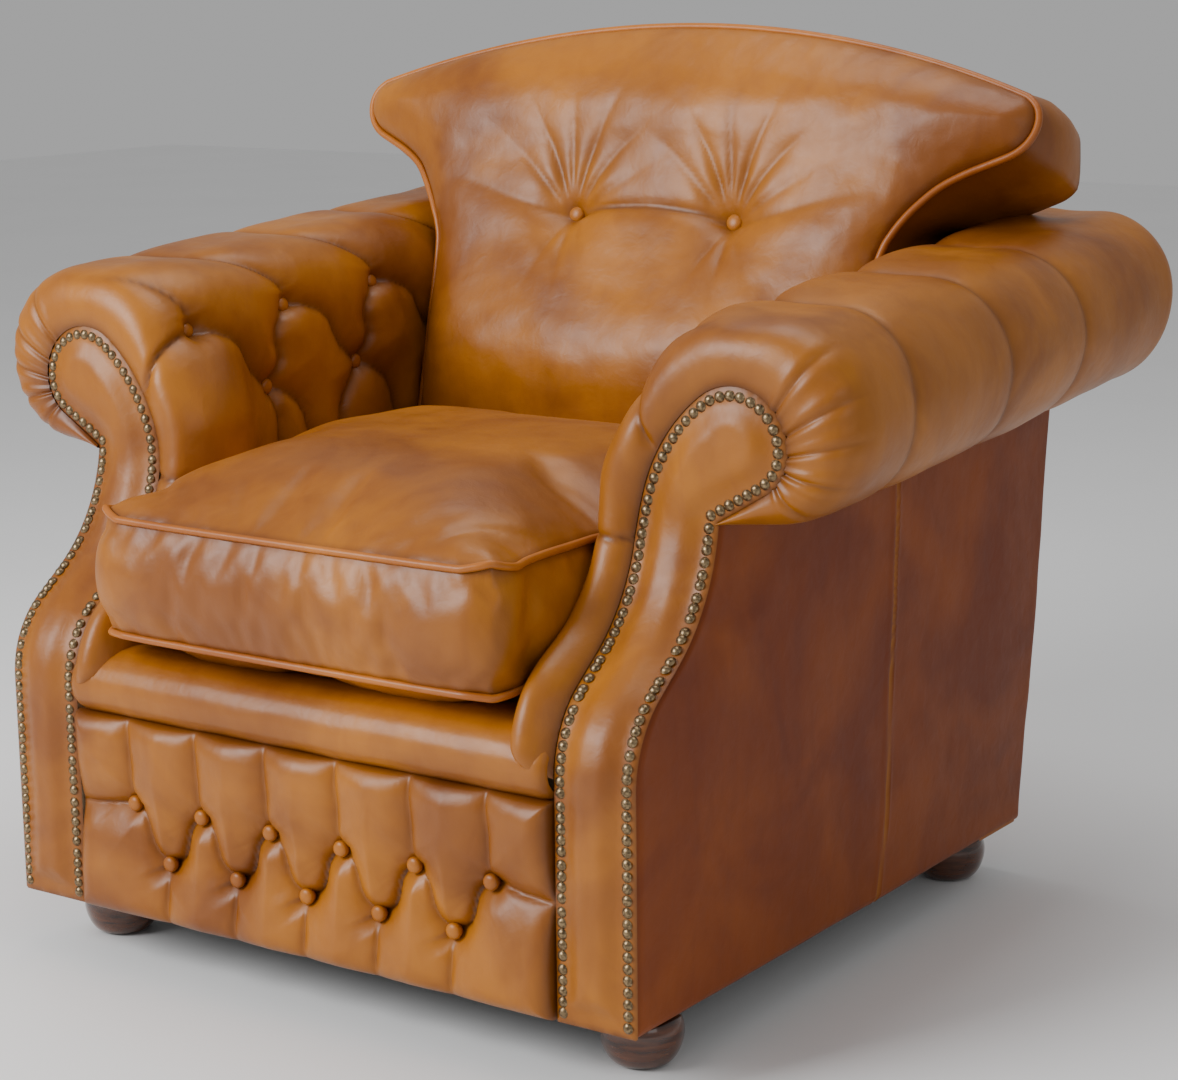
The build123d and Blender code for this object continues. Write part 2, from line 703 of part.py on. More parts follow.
def back_webbing():
    """Woven straps across the back frame, under the back pad."""
    straps = []
    for z in (430.0, 510.0, 590.0, 670.0):
        gap = FRAME_GAP + FRAME_DEPTH + 0.2
        straps.append(raked_board(-POST_OUT_X + 4, POST_OUT_X - 4, z, z + 50, thick=2.0, gap=gap))
    return group(straps)


def dust_cover():
    """Thin cloth under the frame, cut out round the feet."""
    cloth = block(-388, 388, 6, rear_depth(BASE_Z) - 6, BASE_Z - 1.2, BASE_Z)
    for x, depth in FOOT_PLACES.values():
        cloth -= Pos(x, FACE_Y + depth, BASE_Z) * Cylinder(FOOT_NECK_R + 3, 20)
    return cloth


# ---- front skirt ----
def front_lip():
    """Plain padded lip along the front of the seat platform."""
    lip = block(-SKIRT_HALF_W, SKIRT_HALF_W, -LIP_PROUD, LIP_DEPTH, RAIL_TOP_Z + 14, DECK_Z)
    nose = block(-SKIRT_HALF_W, SKIRT_HALF_W, -LIP_PROUD, 14.0, SKIRT_TOP_Z, RAIL_TOP_Z + 14.1)
    lip += nose
    rounded = lip.edges().filter_by(Axis.X).sort_by(Axis.Y)[:2]
    return fillet(rounded, 11.0)


def front_panel():
    """Deep-buttoned front panel below the lip."""
    return block(-SKIRT_HALF_W, SKIRT_HALF_W, -SKIRT_PROUD, 15.5, BASE_Z + 1, SKIRT_TOP_Z - 0.3)


def front_buttons():
    """Two staggered rows of covered buttons on the front panel."""
    button = dome(BUTTON_R, BUTTON_HEIGHT)
    pitch = 92.0
    upper = [((i - 2.5) * pitch, 185.0) for i in range(6)]
    lower = [((i - 2) * pitch, 127.0) for i in range(5)]
    return group(Pos(x, FACE_Y - SKIRT_PROUD - 0.1, z) * button for x, z in upper + lower)


# ---- seat cushion ----
def cushion_body(skin):
    """Crowned boxed cushion, smaller by skin all round."""
    inset = CORD_ROOM + skin
    half_w, front, back = SEAT_HALF_W - inset, SEAT_FRONT + inset, SEAT_BACK - inset
    low, border, crown = SEAT_LOW_Z + skin, SEAT_PIPE_TOP_Z + 12 - skin, SEAT_CROWN_Z - skin
    across = face_of([
        Line((-half_w, low), (half_w, low)),
        Line((half_w, low), (half_w, border)),
        ThreePointArc((half_w, border), (0, crown), (-half_w, border)),
        Line((-half_w, border), (-half_w, low)),
    ])
    along = face_of([
        Line((front, low), (back, low)),
        Line((back, low), (back, border)),
        ThreePointArc((back, border), ((front + back) / 2, crown), (front, border)),
        Line((front, border), (front, low)),
    ])
    body = front_prism(across, front, back) & side_prism(along, -half_w, half_w)
    return fillet(body.edges().filter_by(Axis.Z), SEAT_CORNER_R - inset)


def seat_piping():
    """Piping cords round the top and bottom edges of the cushion's border."""
    half_w = SEAT_HALF_W - PIPE_R
    front, back = FACE_Y + SEAT_FRONT + PIPE_R, FACE_Y + SEAT_BACK - PIPE_R
    cords = []
    for z in (SEAT_PIPE_LOW_Z, SEAT_PIPE_TOP_Z):
        ring = Pos(0, (front + back) / 2, z) * RectangleRounded(2 * half_w, back - front,
                                                               SEAT_CORNER_R - PIPE_R)
        path = ring.face().outer_wire()
        section = Plane(origin=path @ 0, z_dir=path % 0) * Circle(PIPE_R)
        cords.append(sweep(section, path))
    return cords


def zip_tape():
    """Zip tape set along the rear border of the cushion."""
    back = SEAT_BACK - CORD_ROOM
    return block(-240, 240, back, back + 1.0, 420, 444)


def zip_slider():
    """Zip slider with its pull, at the closed end of the zip."""
    back = SEAT_BACK - CORD_ROOM
    body = block(206, 216, back + 1.4, back + 4.4, 427, 437)
    pull = block(208, 214, back + 2.4, back + 3.8, 405, 427)
    return body + pull


# ---- feet ----
def foot():
    """Turned bun foot, standing on its glide."""
    height = BASE_Z
    outline = face_of([
        Line((0, GLIDE_THICK), (FOOT_BASE_R, GLIDE_THICK)),
        ThreePointArc((FOOT_BASE_R, GLIDE_THICK), (FOOT_R, 27.0), (FOOT_NECK_R, height - 6)),
        Line((FOOT_NECK_R, height - 6), (FOOT_NECK_R, height)),
        Line((FOOT_NECK_R, height), (0, height)),
        Line((0, height), (0, GLIDE_THICK)),
    ])
    return revolve(Plane.XZ * outline, Axis.Z)


def glides():
    """Flat glides under the feet."""
    return group(Pos(x, FACE_Y + depth, GLIDE_THICK / 2) * Cylinder(GLIDE_R, GLIDE_THICK)
                 for x, depth in FOOT_PLACES.values())


# ---- the nodes ----
def main():
    os.makedirs("parts", exist_ok=True)
    side_bolts = rail_bolts()
    bolts = foot_bolts()
    timber = {
        "front_post": drilled(front_post(), side_bolts),
        "rear_post": drilled(rear_post(), side_bolts),
        "side_rail": drilled(side_rail(), side_bolts),
        "arm_post": arm_post(),
        "arm_top_rail": arm_top_rail(),
        "arm_tack_rail": arm_tack_rail(),
        "scroll_board": scroll_board(),
    }
    timber["arm_post"] -= timber["arm_top_rail"]
    for name, piece in timber.items():
        save_pair(name, piece)
    save("rail_bolts", group(side_bolts + [flip(bolt) for bolt in side_bolts]))

    save("front_rail", front_rail())
    save("back_rail", back_rail())
    save("back_stay_rail", back_stay_rail())
    save("crest_rail", crest_rail() - timber["rear_post"] - flip(timber["rear_post"]))
    save("corner_blocks", corner_blocks(bolts))
    save("foot_bolts", group(bolts))

    spring = zigzag_spring()
    save("seat_springs", group(Pos(x, 0, 0) * spring for x in SPRING_XS))
    save("spring_clips", spring_clips(spring))
    save("seat_hessian", block(-300, 300, 16, 742, SPRING_Z + 3.2, SPRING_Z + 4.4))
    save("platform_pad", block(-297, 297, LIP_DEPTH + 0.3, 560, SPRING_Z + 5, DECK_Z))
    save("dust_cover", dust_cover())

    save("front_lip", front_lip())
    save("front_panel", front_panel())
    save("front_buttons", front_buttons())

    rear = timber["rear_post"]
    save_pair("inner_arm", inner_arm() - rear - timber["arm_top_rail"])
    webbing = back_webbing()
    save_pair("arm_roll", arm_roll([rear, timber["arm_top_rail"], timber["arm_post"], webbing]))
    save_pair("arm_buttons", arm_buttons())
    save_pair("arm_front_border", arm_front_border())
    save_pair("facing", facing())
    save_pair("facing_nails", facing_nails())
    save_pair("outside_arm", outside_arm())

    piping = back_piping()
    buttons = back_buttons()
    save("back_pad", back_pad() - piping - buttons)
    save("back_border", back_border() - piping)
    save("back_piping", piping)
    save("back_buttons", buttons)
    save("back_webbing", webbing)
    crest = crest_rail()
    save("crest_padding", crest_padding([rear, flip(rear), crest, webbing]))
    save("outside_back", outside_back())

    for name, (x, depth) in FOOT_PLACES.items():
        save(name, drilled(Pos(x, FACE_Y + depth, 0) * foot(), bolts))
    save("foot_glides", glides())

    cords = seat_piping()
    save("seat_cover", cushion_body(0) - cushion_body(COVER_THICK))
    save("seat_foam", cushion_body(COVER_THICK + 0.2))
    save("seat_piping", group(cords))
    save("seat_zip_tape", zip_tape())
    save("seat_zip_slider", zip_slider())
    print("depth", REAR_DEPTH - SEAT_FRONT, "facing plane at", FACE_Y)


main()
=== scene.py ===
import json
import math

import bpy
import numpy as np
from mathutils import Matrix, Vector, geometry, noise


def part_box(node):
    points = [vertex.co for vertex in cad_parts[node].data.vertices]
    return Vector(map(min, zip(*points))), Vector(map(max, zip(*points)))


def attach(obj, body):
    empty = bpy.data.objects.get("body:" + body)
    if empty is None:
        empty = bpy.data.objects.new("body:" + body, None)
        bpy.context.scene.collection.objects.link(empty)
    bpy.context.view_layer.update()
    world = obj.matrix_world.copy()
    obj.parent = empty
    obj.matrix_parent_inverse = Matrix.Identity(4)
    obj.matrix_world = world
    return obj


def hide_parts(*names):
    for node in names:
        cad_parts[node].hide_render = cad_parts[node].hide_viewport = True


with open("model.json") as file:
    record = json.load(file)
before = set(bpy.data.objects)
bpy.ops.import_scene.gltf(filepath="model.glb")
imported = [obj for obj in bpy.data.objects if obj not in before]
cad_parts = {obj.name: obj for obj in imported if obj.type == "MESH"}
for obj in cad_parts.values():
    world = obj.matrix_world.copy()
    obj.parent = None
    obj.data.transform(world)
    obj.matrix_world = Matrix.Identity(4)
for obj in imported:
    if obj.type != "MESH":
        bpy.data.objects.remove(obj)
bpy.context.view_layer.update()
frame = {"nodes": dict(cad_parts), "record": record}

# Everything is in metres. "Depth" is measured back from the facing plane, the arms' lower front.
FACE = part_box("facing_right")[0].y + 0.003
BASE_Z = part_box("facing_right")[0].z

# ---- sizes shared by several pieces ----
SWEEP_ANGLE = math.radians(53.0)
SWEEP_START_Z = 0.299
SWEEP_LOW_R = 0.101
SWEEP_HIGH_R = 0.180
SWEEP_DEPTH = 0.143
REAR_FOOT_DEPTH = 0.797
REAR_RAKE = 0.127
NAIL_IN_X = 0.315
NAIL_OUT_X = 0.388
HEAD = (0.4115, 0.5965)
HEAD_R = 0.0495
TAIL_R = 0.038
TAIL_ANGLE = math.radians(-59.0)
TURN_Z = 0.500
FACING_MARGIN = 0.009
ARM_IN_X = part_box("arm_roll_right")[0].x
ROLL_R = 0.100
ROLL_IN_X = ARM_IN_X + ROLL_R
ROLL_OUT_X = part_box("arm_roll_right")[1].x - ROLL_R
ROLL_Z = 0.617
ROLL_RISE = 0.0664
PANEL_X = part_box("outside_arm_right")[1].x


# ---- small tools ----
def smooth(t):
    """0 below 0, 1 above 1, smooth between."""
    t = np.clip(t, 0.0, 1.0)
    return t * t * (3 - 2 * t)


def bump(distance, width):
    """Bell of height 1."""
    return np.exp(-(distance / width) ** 2)


def quarter_round(distance, width):
    """Rises like a quarter circle from 0 at an edge to 1 at width inside it."""
    return np.sqrt(np.clip(1 - (1 - np.clip(distance / width, 0, 1)) ** 2, 0, 1))


def plane(across, up, cols, rows):
    """Two arrays of rows by cols values: one runs across, the other up."""
    return np.meshgrid(np.linspace(*across, cols), np.linspace(*up, rows))


def arc_radius(half, rise):
    """Radius of the arc that rises this much over half its width."""
    return (half * half + rise * rise) / (2 * rise)


def noise_at(points, scale, seed=0.0, stretch=(1.0, 1.0, 1.0)):
    """Smooth noise, about -1 to 1, at an array of points."""
    flat = points.reshape(-1, 3) * np.array(stretch) * scale + seed
    values = np.array([noise.noise(Vector(p)) for p in flat])
    return values.reshape(points.shape[:-1])


def grid_normals(grid):
    """Unit normals of a grid of points, from its two directions."""
    du = np.gradient(grid, axis=0)
    dv = np.gradient(grid, axis=1)
    n = np.cross(du, dv)
    return n / np.maximum(np.linalg.norm(n, axis=-1, keepdims=True), 1e-12)


def segment_distance(u, v, a, b):
    """Distance from points (u, v) to the segment from a to b, with the side they lie on."""
    ax, ay = a
    dx, dy = b[0] - ax, b[1] - ay
    length2 = dx * dx + dy * dy
    t = np.clip(((u - ax) * dx + (v - ay) * dy) / length2, 0, 1)
    px, py = u - (ax + t * dx), v - (ay + t * dy)
    side = np.sign(dx * py - dy * px)
    return np.hypot(px, py), side, t


def outline_distance(x, z, line):
    """Distance from points (x, z) to the nearest point of a dense line."""
    best = np.full(np.shape(x), 1e9)
    for px, pz in line:
        best = np.minimum(best, (x - px) ** 2 + (z - pz) ** 2)
    return np.sqrt(best)


def mesh_object(name, points, faces, shade=None):
    """A smooth-shaded mesh object. shade is a value per point for how much painted shade the
    leather gets at its creases, seams, dimples and edges.
    """
    mesh = bpy.data.meshes.new(name)
    mesh.from_pydata([tuple(p) for p in points], [], [tuple(f) for f in faces])
    mesh.validate()
    mesh.polygons.foreach_set("use_smooth", [True] * len(mesh.polygons))
    if shade is not None:
        crease_and_painted_shade = mesh.attributes.new("crease_and_painted_shade", "FLOAT", "POINT")
        crease_and_painted_shade.data.foreach_set("value", np.asarray(shade, np.float32).ravel())
    obj = bpy.data.objects.new(name, mesh)
    bpy.context.scene.collection.objects.link(obj)
    return obj


def grid_faces(rows, cols, flip=False, start=0):
    """Quads of a grid of rows by cols points."""
    faces = []
    for i in range(rows - 1):
        for j in range(cols - 1):
            a = start + i * cols + j
            quad = (a, a + 1, a + cols + 1, a + cols)
            faces.append(quad[::-1] if flip else quad)
    return faces


def grid_object(name, grid, flip=False, shade=None):
    """A grid of points as a mesh object."""
    rows, cols = grid.shape[:2]
    return mesh_object(name, grid.reshape(-1, 3), grid_faces(rows, cols, flip), shade)


def mirrored(obj, name):
    """A copy of obj on the other side of the chair."""
    mesh = obj.data.copy()
    co = np.empty(len(mesh.vertices) * 3, np.float32)
    mesh.vertices.foreach_get("co", co)
    co[0::3] *= -1
    mesh.vertices.foreach_set("co", co)
    mesh.flip_normals()
    copy = bpy.data.objects.new(name, mesh)
    bpy.context.scene.collection.objects.link(copy)
    return copy


def place(obj, slot_name, *nodes, body="root", fill=None):
    """Gives a piece its slot's material and its body, and hides the CAD nodes that it stands for.
    """
    obj.data.materials.clear()
    obj.data.materials.append(MATERIALS[slot_name])
    if nodes:
        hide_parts(*nodes)
    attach(obj, body)
    return obj


def ring_faces(rings, sides, start=0, closed=False):
    """Quads between rings of points, with a face over each end unless the rings close."""
    faces = []
    for i in range(rings if closed else rings - 1):
        a, b = start + i * sides, start + (i + 1) % rings * sides
        for k in range(sides):
            m = (k + 1) % sides
            faces.append((a + k, a + m, b + m, b + k))
    if not closed:
        last = start + (rings - 1) * sides
        faces.append(range(start, start + sides)[::-1])
        faces.append(range(last, last + sides))
    return faces


def tube(name, line, radius, closed=False, sides=10):
    """Round cord along a dense line of points."""
    line = np.asarray(line, float)
    ahead = np.roll(line, -1, 0) - np.roll(line, 1, 0)
    if not closed:
        ahead[0], ahead[-1] = line[1] - line[0], line[-1] - line[-2]
    ahead /= np.linalg.norm(ahead, axis=1, keepdims=True)
    normal = np.cross(ahead[0], (0.13, 0.31, 0.94))
    points = []
    for at, along in zip(line, ahead):
        normal = normal - along * np.dot(normal, along)
        normal /= np.linalg.norm(normal)
        other = np.cross(along, normal)
        for k in range(sides):
            a = 2 * math.pi * k / sides
            points.append(at + radius * (math.cos(a) * normal + math.sin(a) * other))
    return mesh_object(name, points, ring_faces(len(line), sides, closed=closed))


def turned(name, profile, places, sides):
    """Turned pieces in one mesh. The profile is (radius, height) from the bottom up; each place
    is the centre of a base and the direction of the axis."""
    points, faces = [], []
    for centre, axis in places:
        turn = Vector((0, 0, 1)).rotation_difference(axis)
        faces += ring_faces(len(profile), sides, len(points))
        for r, h in profile:
            for k in range(sides):
                a = 2 * math.pi * k / sides
                points.append(centre + turn @ Vector((r * math.cos(a), r * math.sin(a), h)))
    return mesh_object(name, points, faces)


def resample(line, count):
    """A line of evenly spaced points."""
    line = np.asarray(line, float)
    along = np.concatenate([[0], np.cumsum(np.linalg.norm(np.diff(line, axis=0), axis=1))])
    places = np.linspace(0, along[-1], count)
    return np.stack([np.interp(places, along, line[:, k]) for k in range(line.shape[1])], 1)


def arc_points(cx, cz, r, a0, a1, count):
    """Points on a circle from angle a0 to a1."""
    a = np.linspace(a0, a1, count)
    return np.stack([cx + r * np.cos(a), cz + r * np.sin(a)], 1)


# ---- the arm front's sweep and the facing's outline ----
def sweep(z):
    """Depth of the arm front at heights z."""
    z = np.asarray(z, float)
    run = ((SWEEP_DEPTH - (SWEEP_LOW_R + SWEEP_HIGH_R) * (1 - math.cos(SWEEP_ANGLE)))
           / math.sin(SWEEP_ANGLE))
    end = (SWEEP_START_Z + (SWEEP_LOW_R + SWEEP_HIGH_R) * math.sin(SWEEP_ANGLE)
           + run * math.cos(SWEEP_ANGLE))
    low = SWEEP_START_Z + SWEEP_LOW_R * math.sin(SWEEP_ANGLE)
    high = end - SWEEP_HIGH_R * math.sin(SWEEP_ANGLE)
    a = np.clip((z - SWEEP_START_Z) / SWEEP_LOW_R, 0, 1)
    b = np.clip((end - z) / SWEEP_HIGH_R, 0, 1)
    first = SWEEP_LOW_R * (1 - np.sqrt(1 - a * a))
    middle = SWEEP_LOW_R * (1 - math.cos(SWEEP_ANGLE)) + (z - low) * math.tan(SWEEP_ANGLE)
    last = SWEEP_DEPTH - SWEEP_HIGH_R * (1 - np.sqrt(1 - b * b))
    return np.where(z <= low, first, np.where(z <= high, middle, last))


def facing_line(margin, low_z):
    """Dense line of the facing's edge, a margin outside the nails, and where its parts end."""
    a, b = HEAD[0] - NAIL_IN_X, HEAD[1] - TURN_Z
    turn_r = (a * a + b * b - HEAD_R ** 2) / (2 * (a - HEAD_R))
    turn_x = NAIL_IN_X + turn_r
    meet = math.atan2(b, HEAD[0] - turn_x)
    tail_x = HEAD[0] + HEAD_R - TAIL_R
    head_r, tail_r = HEAD_R + margin, TAIL_R + margin
    tail = arc_points(tail_x, HEAD[1], tail_r, 0, TAIL_ANGLE, 24)
    slope = math.tan(TAIL_ANGLE + math.pi / 2)
    out_x = NAIL_OUT_X + margin
    notch_z = tail[-1, 1] - (tail[-1, 0] - out_x) * slope
    parts = [
        np.array([(NAIL_IN_X - margin, low_z), (NAIL_IN_X - margin, TURN_Z)]),
        arc_points(turn_x, TURN_Z, turn_r + margin, math.pi, meet, 40)[1:],
        arc_points(HEAD[0], HEAD[1], head_r, meet, 0, 40)[1:],
        tail[1:],
        np.array([(out_x, notch_z)]),
    ]
    line = np.concatenate(parts)
    along = np.concatenate([[0], np.cumsum(np.linalg.norm(np.diff(line, axis=0), axis=1))])
    marks = np.cumsum([len(p) for p in parts]) - 1
    head_top = np.argmax(line[:, 1])
    return line, along, {"turn": along[marks[0]], "top": along[head_top],
                         "right": along[marks[2]], "tail": along[marks[3]], "end": along[-1]}


# ---- materials ----
def node_material(name):
    """A node material: itself, its shader, and a function that adds a node, or takes one, and
    sets its inputs."""
    material = bpy.data.materials.new(name)
    material.use_nodes = True
    nodes, links = material.node_tree.nodes, material.node_tree.links

    def add(kind, inputs, **settings):
        node = nodes.new("ShaderNode" + kind) if isinstance(kind, str) else kind
        for key, value in settings.items():
            setattr(node, key, value)
        for key, value in inputs.items():
            if isinstance(value, bpy.types.NodeSocket):
                links.new(value, node.inputs[key])
            else:
                node.inputs[key].default_value = value
        return node

    return material, nodes["Principled BSDF"], add


def ramp_colour(add, factor, low, high, start=0.0, end=1.0):
    """Colour that runs from low to high as factor goes from start to end."""
    ramp = add("ValToRGB", {"Fac": factor})
    for stop, at, colour in zip(ramp.color_ramp.elements, (start, end), (low, high)):
        stop.position = at
        stop.color = (*colour, 1)
    return ramp.outputs["Color"]


def leather(name, light, mid, dark, rough=0.40, grain=0.10, coat=0.05, specular=0.42):
    """Antiqued pull-up leather: cloudy tan with a fine pebble grain, and painted shade in its
    folds, seams and dimples, mixed towards the dark colour.
    """
    material, shader, add = node_material(name)
    where = add("TexCoord", {}).outputs["Object"]

    def clouds(scale, detail, distortion=0.0, stretch=(1, 1, 1)):
        mapping = add("Mapping", {"Scale": stretch, "Vector": where})
        texture = add("TexNoise", {"Scale": scale, "Detail": detail, "Distortion": distortion,
                                   "Vector": mapping.outputs["Vector"]})
        return texture.outputs["Fac"]

    cloudy = ramp_colour(add, clouds(5.5, 4, 0.6), mid, light, 0.36, 0.62)
    fade = add("MapRange", {"Value": clouds(38, 6, 0.8, (1, 1, 0.35)), "From Min": 0.45,
                            "From Max": 0.75, "To Max": 0.35})
    streaky = add("Mix", {"Factor": fade.outputs["Result"], "A": cloudy,
                          "B": (0.72, 0.60, 0.50, 1)}, data_type="RGBA", blend_type="MULTIPLY")
    # the per-point painted shade of creases, seams, dimples and edges
    crease_and_painted_shade = add("Attribute", {}, attribute_name="crease_and_painted_shade")
    with_painted_shade = add("Mix", {"Factor": crease_and_painted_shade.outputs["Fac"], "A": streaky.outputs["Result"],
                         "B": (*dark, 1)}, data_type="RGBA")
    gloss = add("MapRange", {"Value": clouds(60, 5), "To Min": rough - 0.05,
                             "To Max": rough + 0.09})
    pebble = add("TexVoronoi", {"Vector": where, "Scale": 620}, feature="DISTANCE_TO_EDGE")
    fine = add("Bump", {"Height": pebble.outputs["Distance"], "Strength": grain,
                        "Distance": 0.0006})
    broad = add("Bump", {"Height": clouds(55, 3, 0.4), "Strength": 0.22, "Distance": 0.0030,
                         "Normal": fine.outputs["Normal"]})
    add(shader, {"Base Color": with_painted_shade.outputs["Result"], "Roughness": gloss.outputs["Result"],
                 "Coat Weight": coat, "Coat Roughness": 0.30, "Specular IOR Level": specular,
                 "Normal": broad.outputs["Normal"]})
    return material


def grained(name, low, high, scale, stretch, rough, bump_depth, metallic=0.0, coat=0.0):
    """Plain material with noise stretched along a grain: wood, cloth, wire."""
    material, shader, add = node_material(name)
    where = add("TexCoord", {}).outputs["Object"]
    mapping = add("Mapping", {"Scale": stretch, "Vector": where})
    texture = add("TexNoise", {"Scale": scale, "Detail": 6, "Vector": mapping.outputs["Vector"]})
    grain = texture.outputs["Fac"]
    relief = add("Bump", {"Strength": 0.4, "Distance": bump_depth, "Height": grain})
    add(shader, {"Base Color": ramp_colour(add, grain, low, high, 0.32, 0.68),
                 "Normal": relief.outputs["Normal"], "Roughness": rough,
                 "Metallic": metallic, "Coat Weight": coat})
    return material


def weave(name, colour, dark, threads, rough=0.9):
    """Woven cloth: two crossed wave patterns."""
    material, shader, add = node_material(name)
    where = add("TexCoord", {}).outputs["Object"]
    waves = [add("TexWave", {"Scale": threads, "Distortion": 1.0, "Vector": where},
                 bands_direction=direction).outputs["Fac"] for direction in ("X", "Y")]
    height = add("Math", {0: waves[0], 1: waves[1]}, operation="ADD").outputs["Value"]
    relief = add("Bump", {"Distance": 0.0006, "Height": height})
    add(shader, {"Base Color": ramp_colour(add, height, dark, colour), "Roughness": rough,
                 "Normal": relief.outputs["Normal"]})
    return material


TAN_LIGHT = (0.385, 0.127, 0.0040)
TAN_MID = (0.215, 0.060, 0.0021)
# colour of the painted shade in creases, seams and dimples
TAN_PAINTED_SHADE = (0.050, 0.0085, 0.0008)
MATERIALS = {
    "leather": leather("tan_leather", TAN_LIGHT, TAN_MID, TAN_PAINTED_SHADE),
    # painted shade: a darker, redder copy of the tan leather for the outside panels, matched to
    # the chair's shaded side; its third colour is paler than its tan, so their seams and edges
    # come out lighter
    "outer_leather": leather("tan_leather_outside_painted_shade", (0.245, 0.052, 0.0022), (0.165, 0.028, 0.0015),
                             (0.42, 0.17, 0.030), rough=0.46, coat=0.0, specular=0.26),
    "piping_leather": leather("tan_leather_piping", (0.450, 0.140, 0.012), (0.320, 0.085, 0.006),
                              TAN_PAINTED_SHADE, rough=0.40, grain=0.05),
    "button_leather": leather("tan_leather_button", (0.400, 0.130, 0.006), (0.270, 0.076, 0.0035),
                              TAN_PAINTED_SHADE, grain=0.05),
    "brass_nails": grained("antique_brass", (0.085, 0.055, 0.030), (0.330, 0.235, 0.125), 420,
                           (1, 1, 1), 0.34, 0.0002, metallic=0.9),
    "foot_wood": grained("dark_mahogany", (0.028, 0.0070, 0.0022), (0.120, 0.034, 0.0100), 30,
                         (1, 1, 6), 0.22, 0.0002, coat=0.6),
    "frame_wood": grained("raw_beech", (0.45, 0.30, 0.17), (0.66, 0.50, 0.32), 22,
                          (8, 1, 1), 0.65, 0.0004),
    "spring_steel": grained("spring_wire", (0.18, 0.18, 0.19), (0.38, 0.38, 0.40), 200,
                            (1, 1, 1), 0.40, 0.0001, metallic=1.0),
    "bolt_steel": grained("zinc_plate", (0.38, 0.38, 0.40), (0.62, 0.62, 0.64), 160,
                          (1, 1, 1), 0.35, 0.0001, metallic=1.0),
    "zip_metal": grained("zip_brass", (0.30, 0.20, 0.09), (0.55, 0.40, 0.20), 300,
                         (1, 1, 1), 0.32, 0.0001, metallic=1.0),
    "glide": grained("glide_plastic", (0.020, 0.016, 0.013), (0.050, 0.040, 0.034), 150,
                     (1, 1, 1), 0.50, 0.0002),
    "foam": grained("foam", (0.70, 0.64, 0.48), (0.85, 0.80, 0.66), 300, (1, 1, 1), 0.95, 0.0008),
    "lining": grained("felt", (0.20, 0.10, 0.045), (0.32, 0.17, 0.08), 260, (1, 1, 1), 0.95,
                      0.0008),
    "hessian": weave("jute_hessian", (0.52, 0.40, 0.24), (0.20, 0.14, 0.08), 320),
    "webbing": weave("jute_webbing", (0.50, 0.42, 0.30), (0.22, 0.17, 0.11), 260),
    "dust_cloth": weave("black_dust_cloth", (0.030, 0.030, 0.030), (0.008, 0.008, 0.008), 500),
    "zip_tape": weave("brown_zip_tape", (0.16, 0.08, 0.04), (0.07, 0.035, 0.018), 700),
}


def dress_cad():
    """Gives every CAD node the material of its slot."""
    for part in frame["record"]["subparts"]:
        obj = frame["nodes"][part["node"]]
        obj.data.materials.clear()
        obj.data.materials.append(MATERIALS[part["material_slot"]])
        obj.data.polygons.foreach_set("material_index", [0] * len(obj.data.polygons))


# ---- arms ----
WALL_LOW_Z = 0.300
COLUMN_SWELL = 0.047
WALL_LENGTH = 0.290
WALL_END = 0.775        # depth at which the inner wall stops, inside the outside back
NOSE_LENGTH = 0.058     # depth of the border's rounded front
REAR_ROUND_R = 0.030
ARM_BUTTON_R = 0.0090
ARM_BUTTON_SINK = 0.0195
QUARTER = math.pi / 2 * ROLL_R
FLAT = ROLL_OUT_X - ROLL_IN_X
UNDER = ROLL_OUT_X - PANEL_X + 0.004
ARM_LENGTH = WALL_LENGTH + QUARTER + FLAT + 2 * QUARTER + UNDER
S_TOP = WALL_LENGTH + QUARTER
S_OUT = S_TOP + FLAT + QUARTER
S_LOW = S_OUT + QUARTER
ROW_S = (0.325, 0.240, 0.150)
ARM_BUTTONS = (
    [(0.205 + 0.158 * k, ROW_S[0]) for k in range(4)],
    [(0.325 + 0.157 * k, ROW_S[1]) for k in range(3)],
    [(0.420 + 0.157 * k, ROW_S[2]) for k in range(2)],
)
ROLL_PLEATS = (   # depth of each pleat at the button row, the top, the outside and the underside
    (0.205, 0.150, 0.120, 0.120),
    (0.363, 0.280, 0.262, 0.285),
    (0.521, 0.440, 0.462, 0.480),
    (0.679, 0.615, 0.634, 0.650),
)
GATHERS = ((0.560, 0.8), (0.615, 1.0), (0.660, 0.8), (0.712, 1.0), (0.765, 0.7))
SEAM_Z = 0.502          # where the border's upper and lower parts join


def arm_section(s, depth):
    """Place (x, z) on the arm's section at arc length s and depth."""
    centre = ROLL_Z + ROLL_RISE * (depth - SWEEP_DEPTH)
    wall = s / WALL_LENGTH
    x = np.full(np.shape(s), ARM_IN_X)
    z = WALL_LOW_Z + wall * (centre - WALL_LOW_Z)
    turn = np.clip((s - WALL_LENGTH) / ROLL_R, 0, math.pi / 2)
    on_turn = s > WALL_LENGTH
    x = np.where(on_turn, ROLL_IN_X - ROLL_R * np.cos(turn), x)
    z = np.where(on_turn, centre + ROLL_R * np.sin(turn), z)
    x = np.where(s > S_TOP, ROLL_IN_X + np.clip(s - S_TOP, 0, FLAT), x)
    over = np.clip((s - S_TOP - FLAT) / ROLL_R, 0, math.pi)
    on_over = s > S_TOP + FLAT
    x = np.where(on_over, ROLL_OUT_X + ROLL_R * np.sin(over), x)
    z = np.where(on_over, centre + ROLL_R * np.cos(over), z)
    x = np.where(s > S_LOW, ROLL_OUT_X - (s - S_LOW), x)
    return x, z


def pleat_depth(pleat, s):
    """Depth of a roll pleat at arc length s."""
    stations = (ROW_S[0], S_TOP, S_OUT, ARM_LENGTH)
    t = np.interp(s, stations, (0, 1, 2, 3))
    low = np.floor(np.clip(t, 0, 2.999)).astype(int)
    part = smooth(t - low)
    values = np.array(pleat)
    return values[low] * (1 - part) + values[low + 1] * part


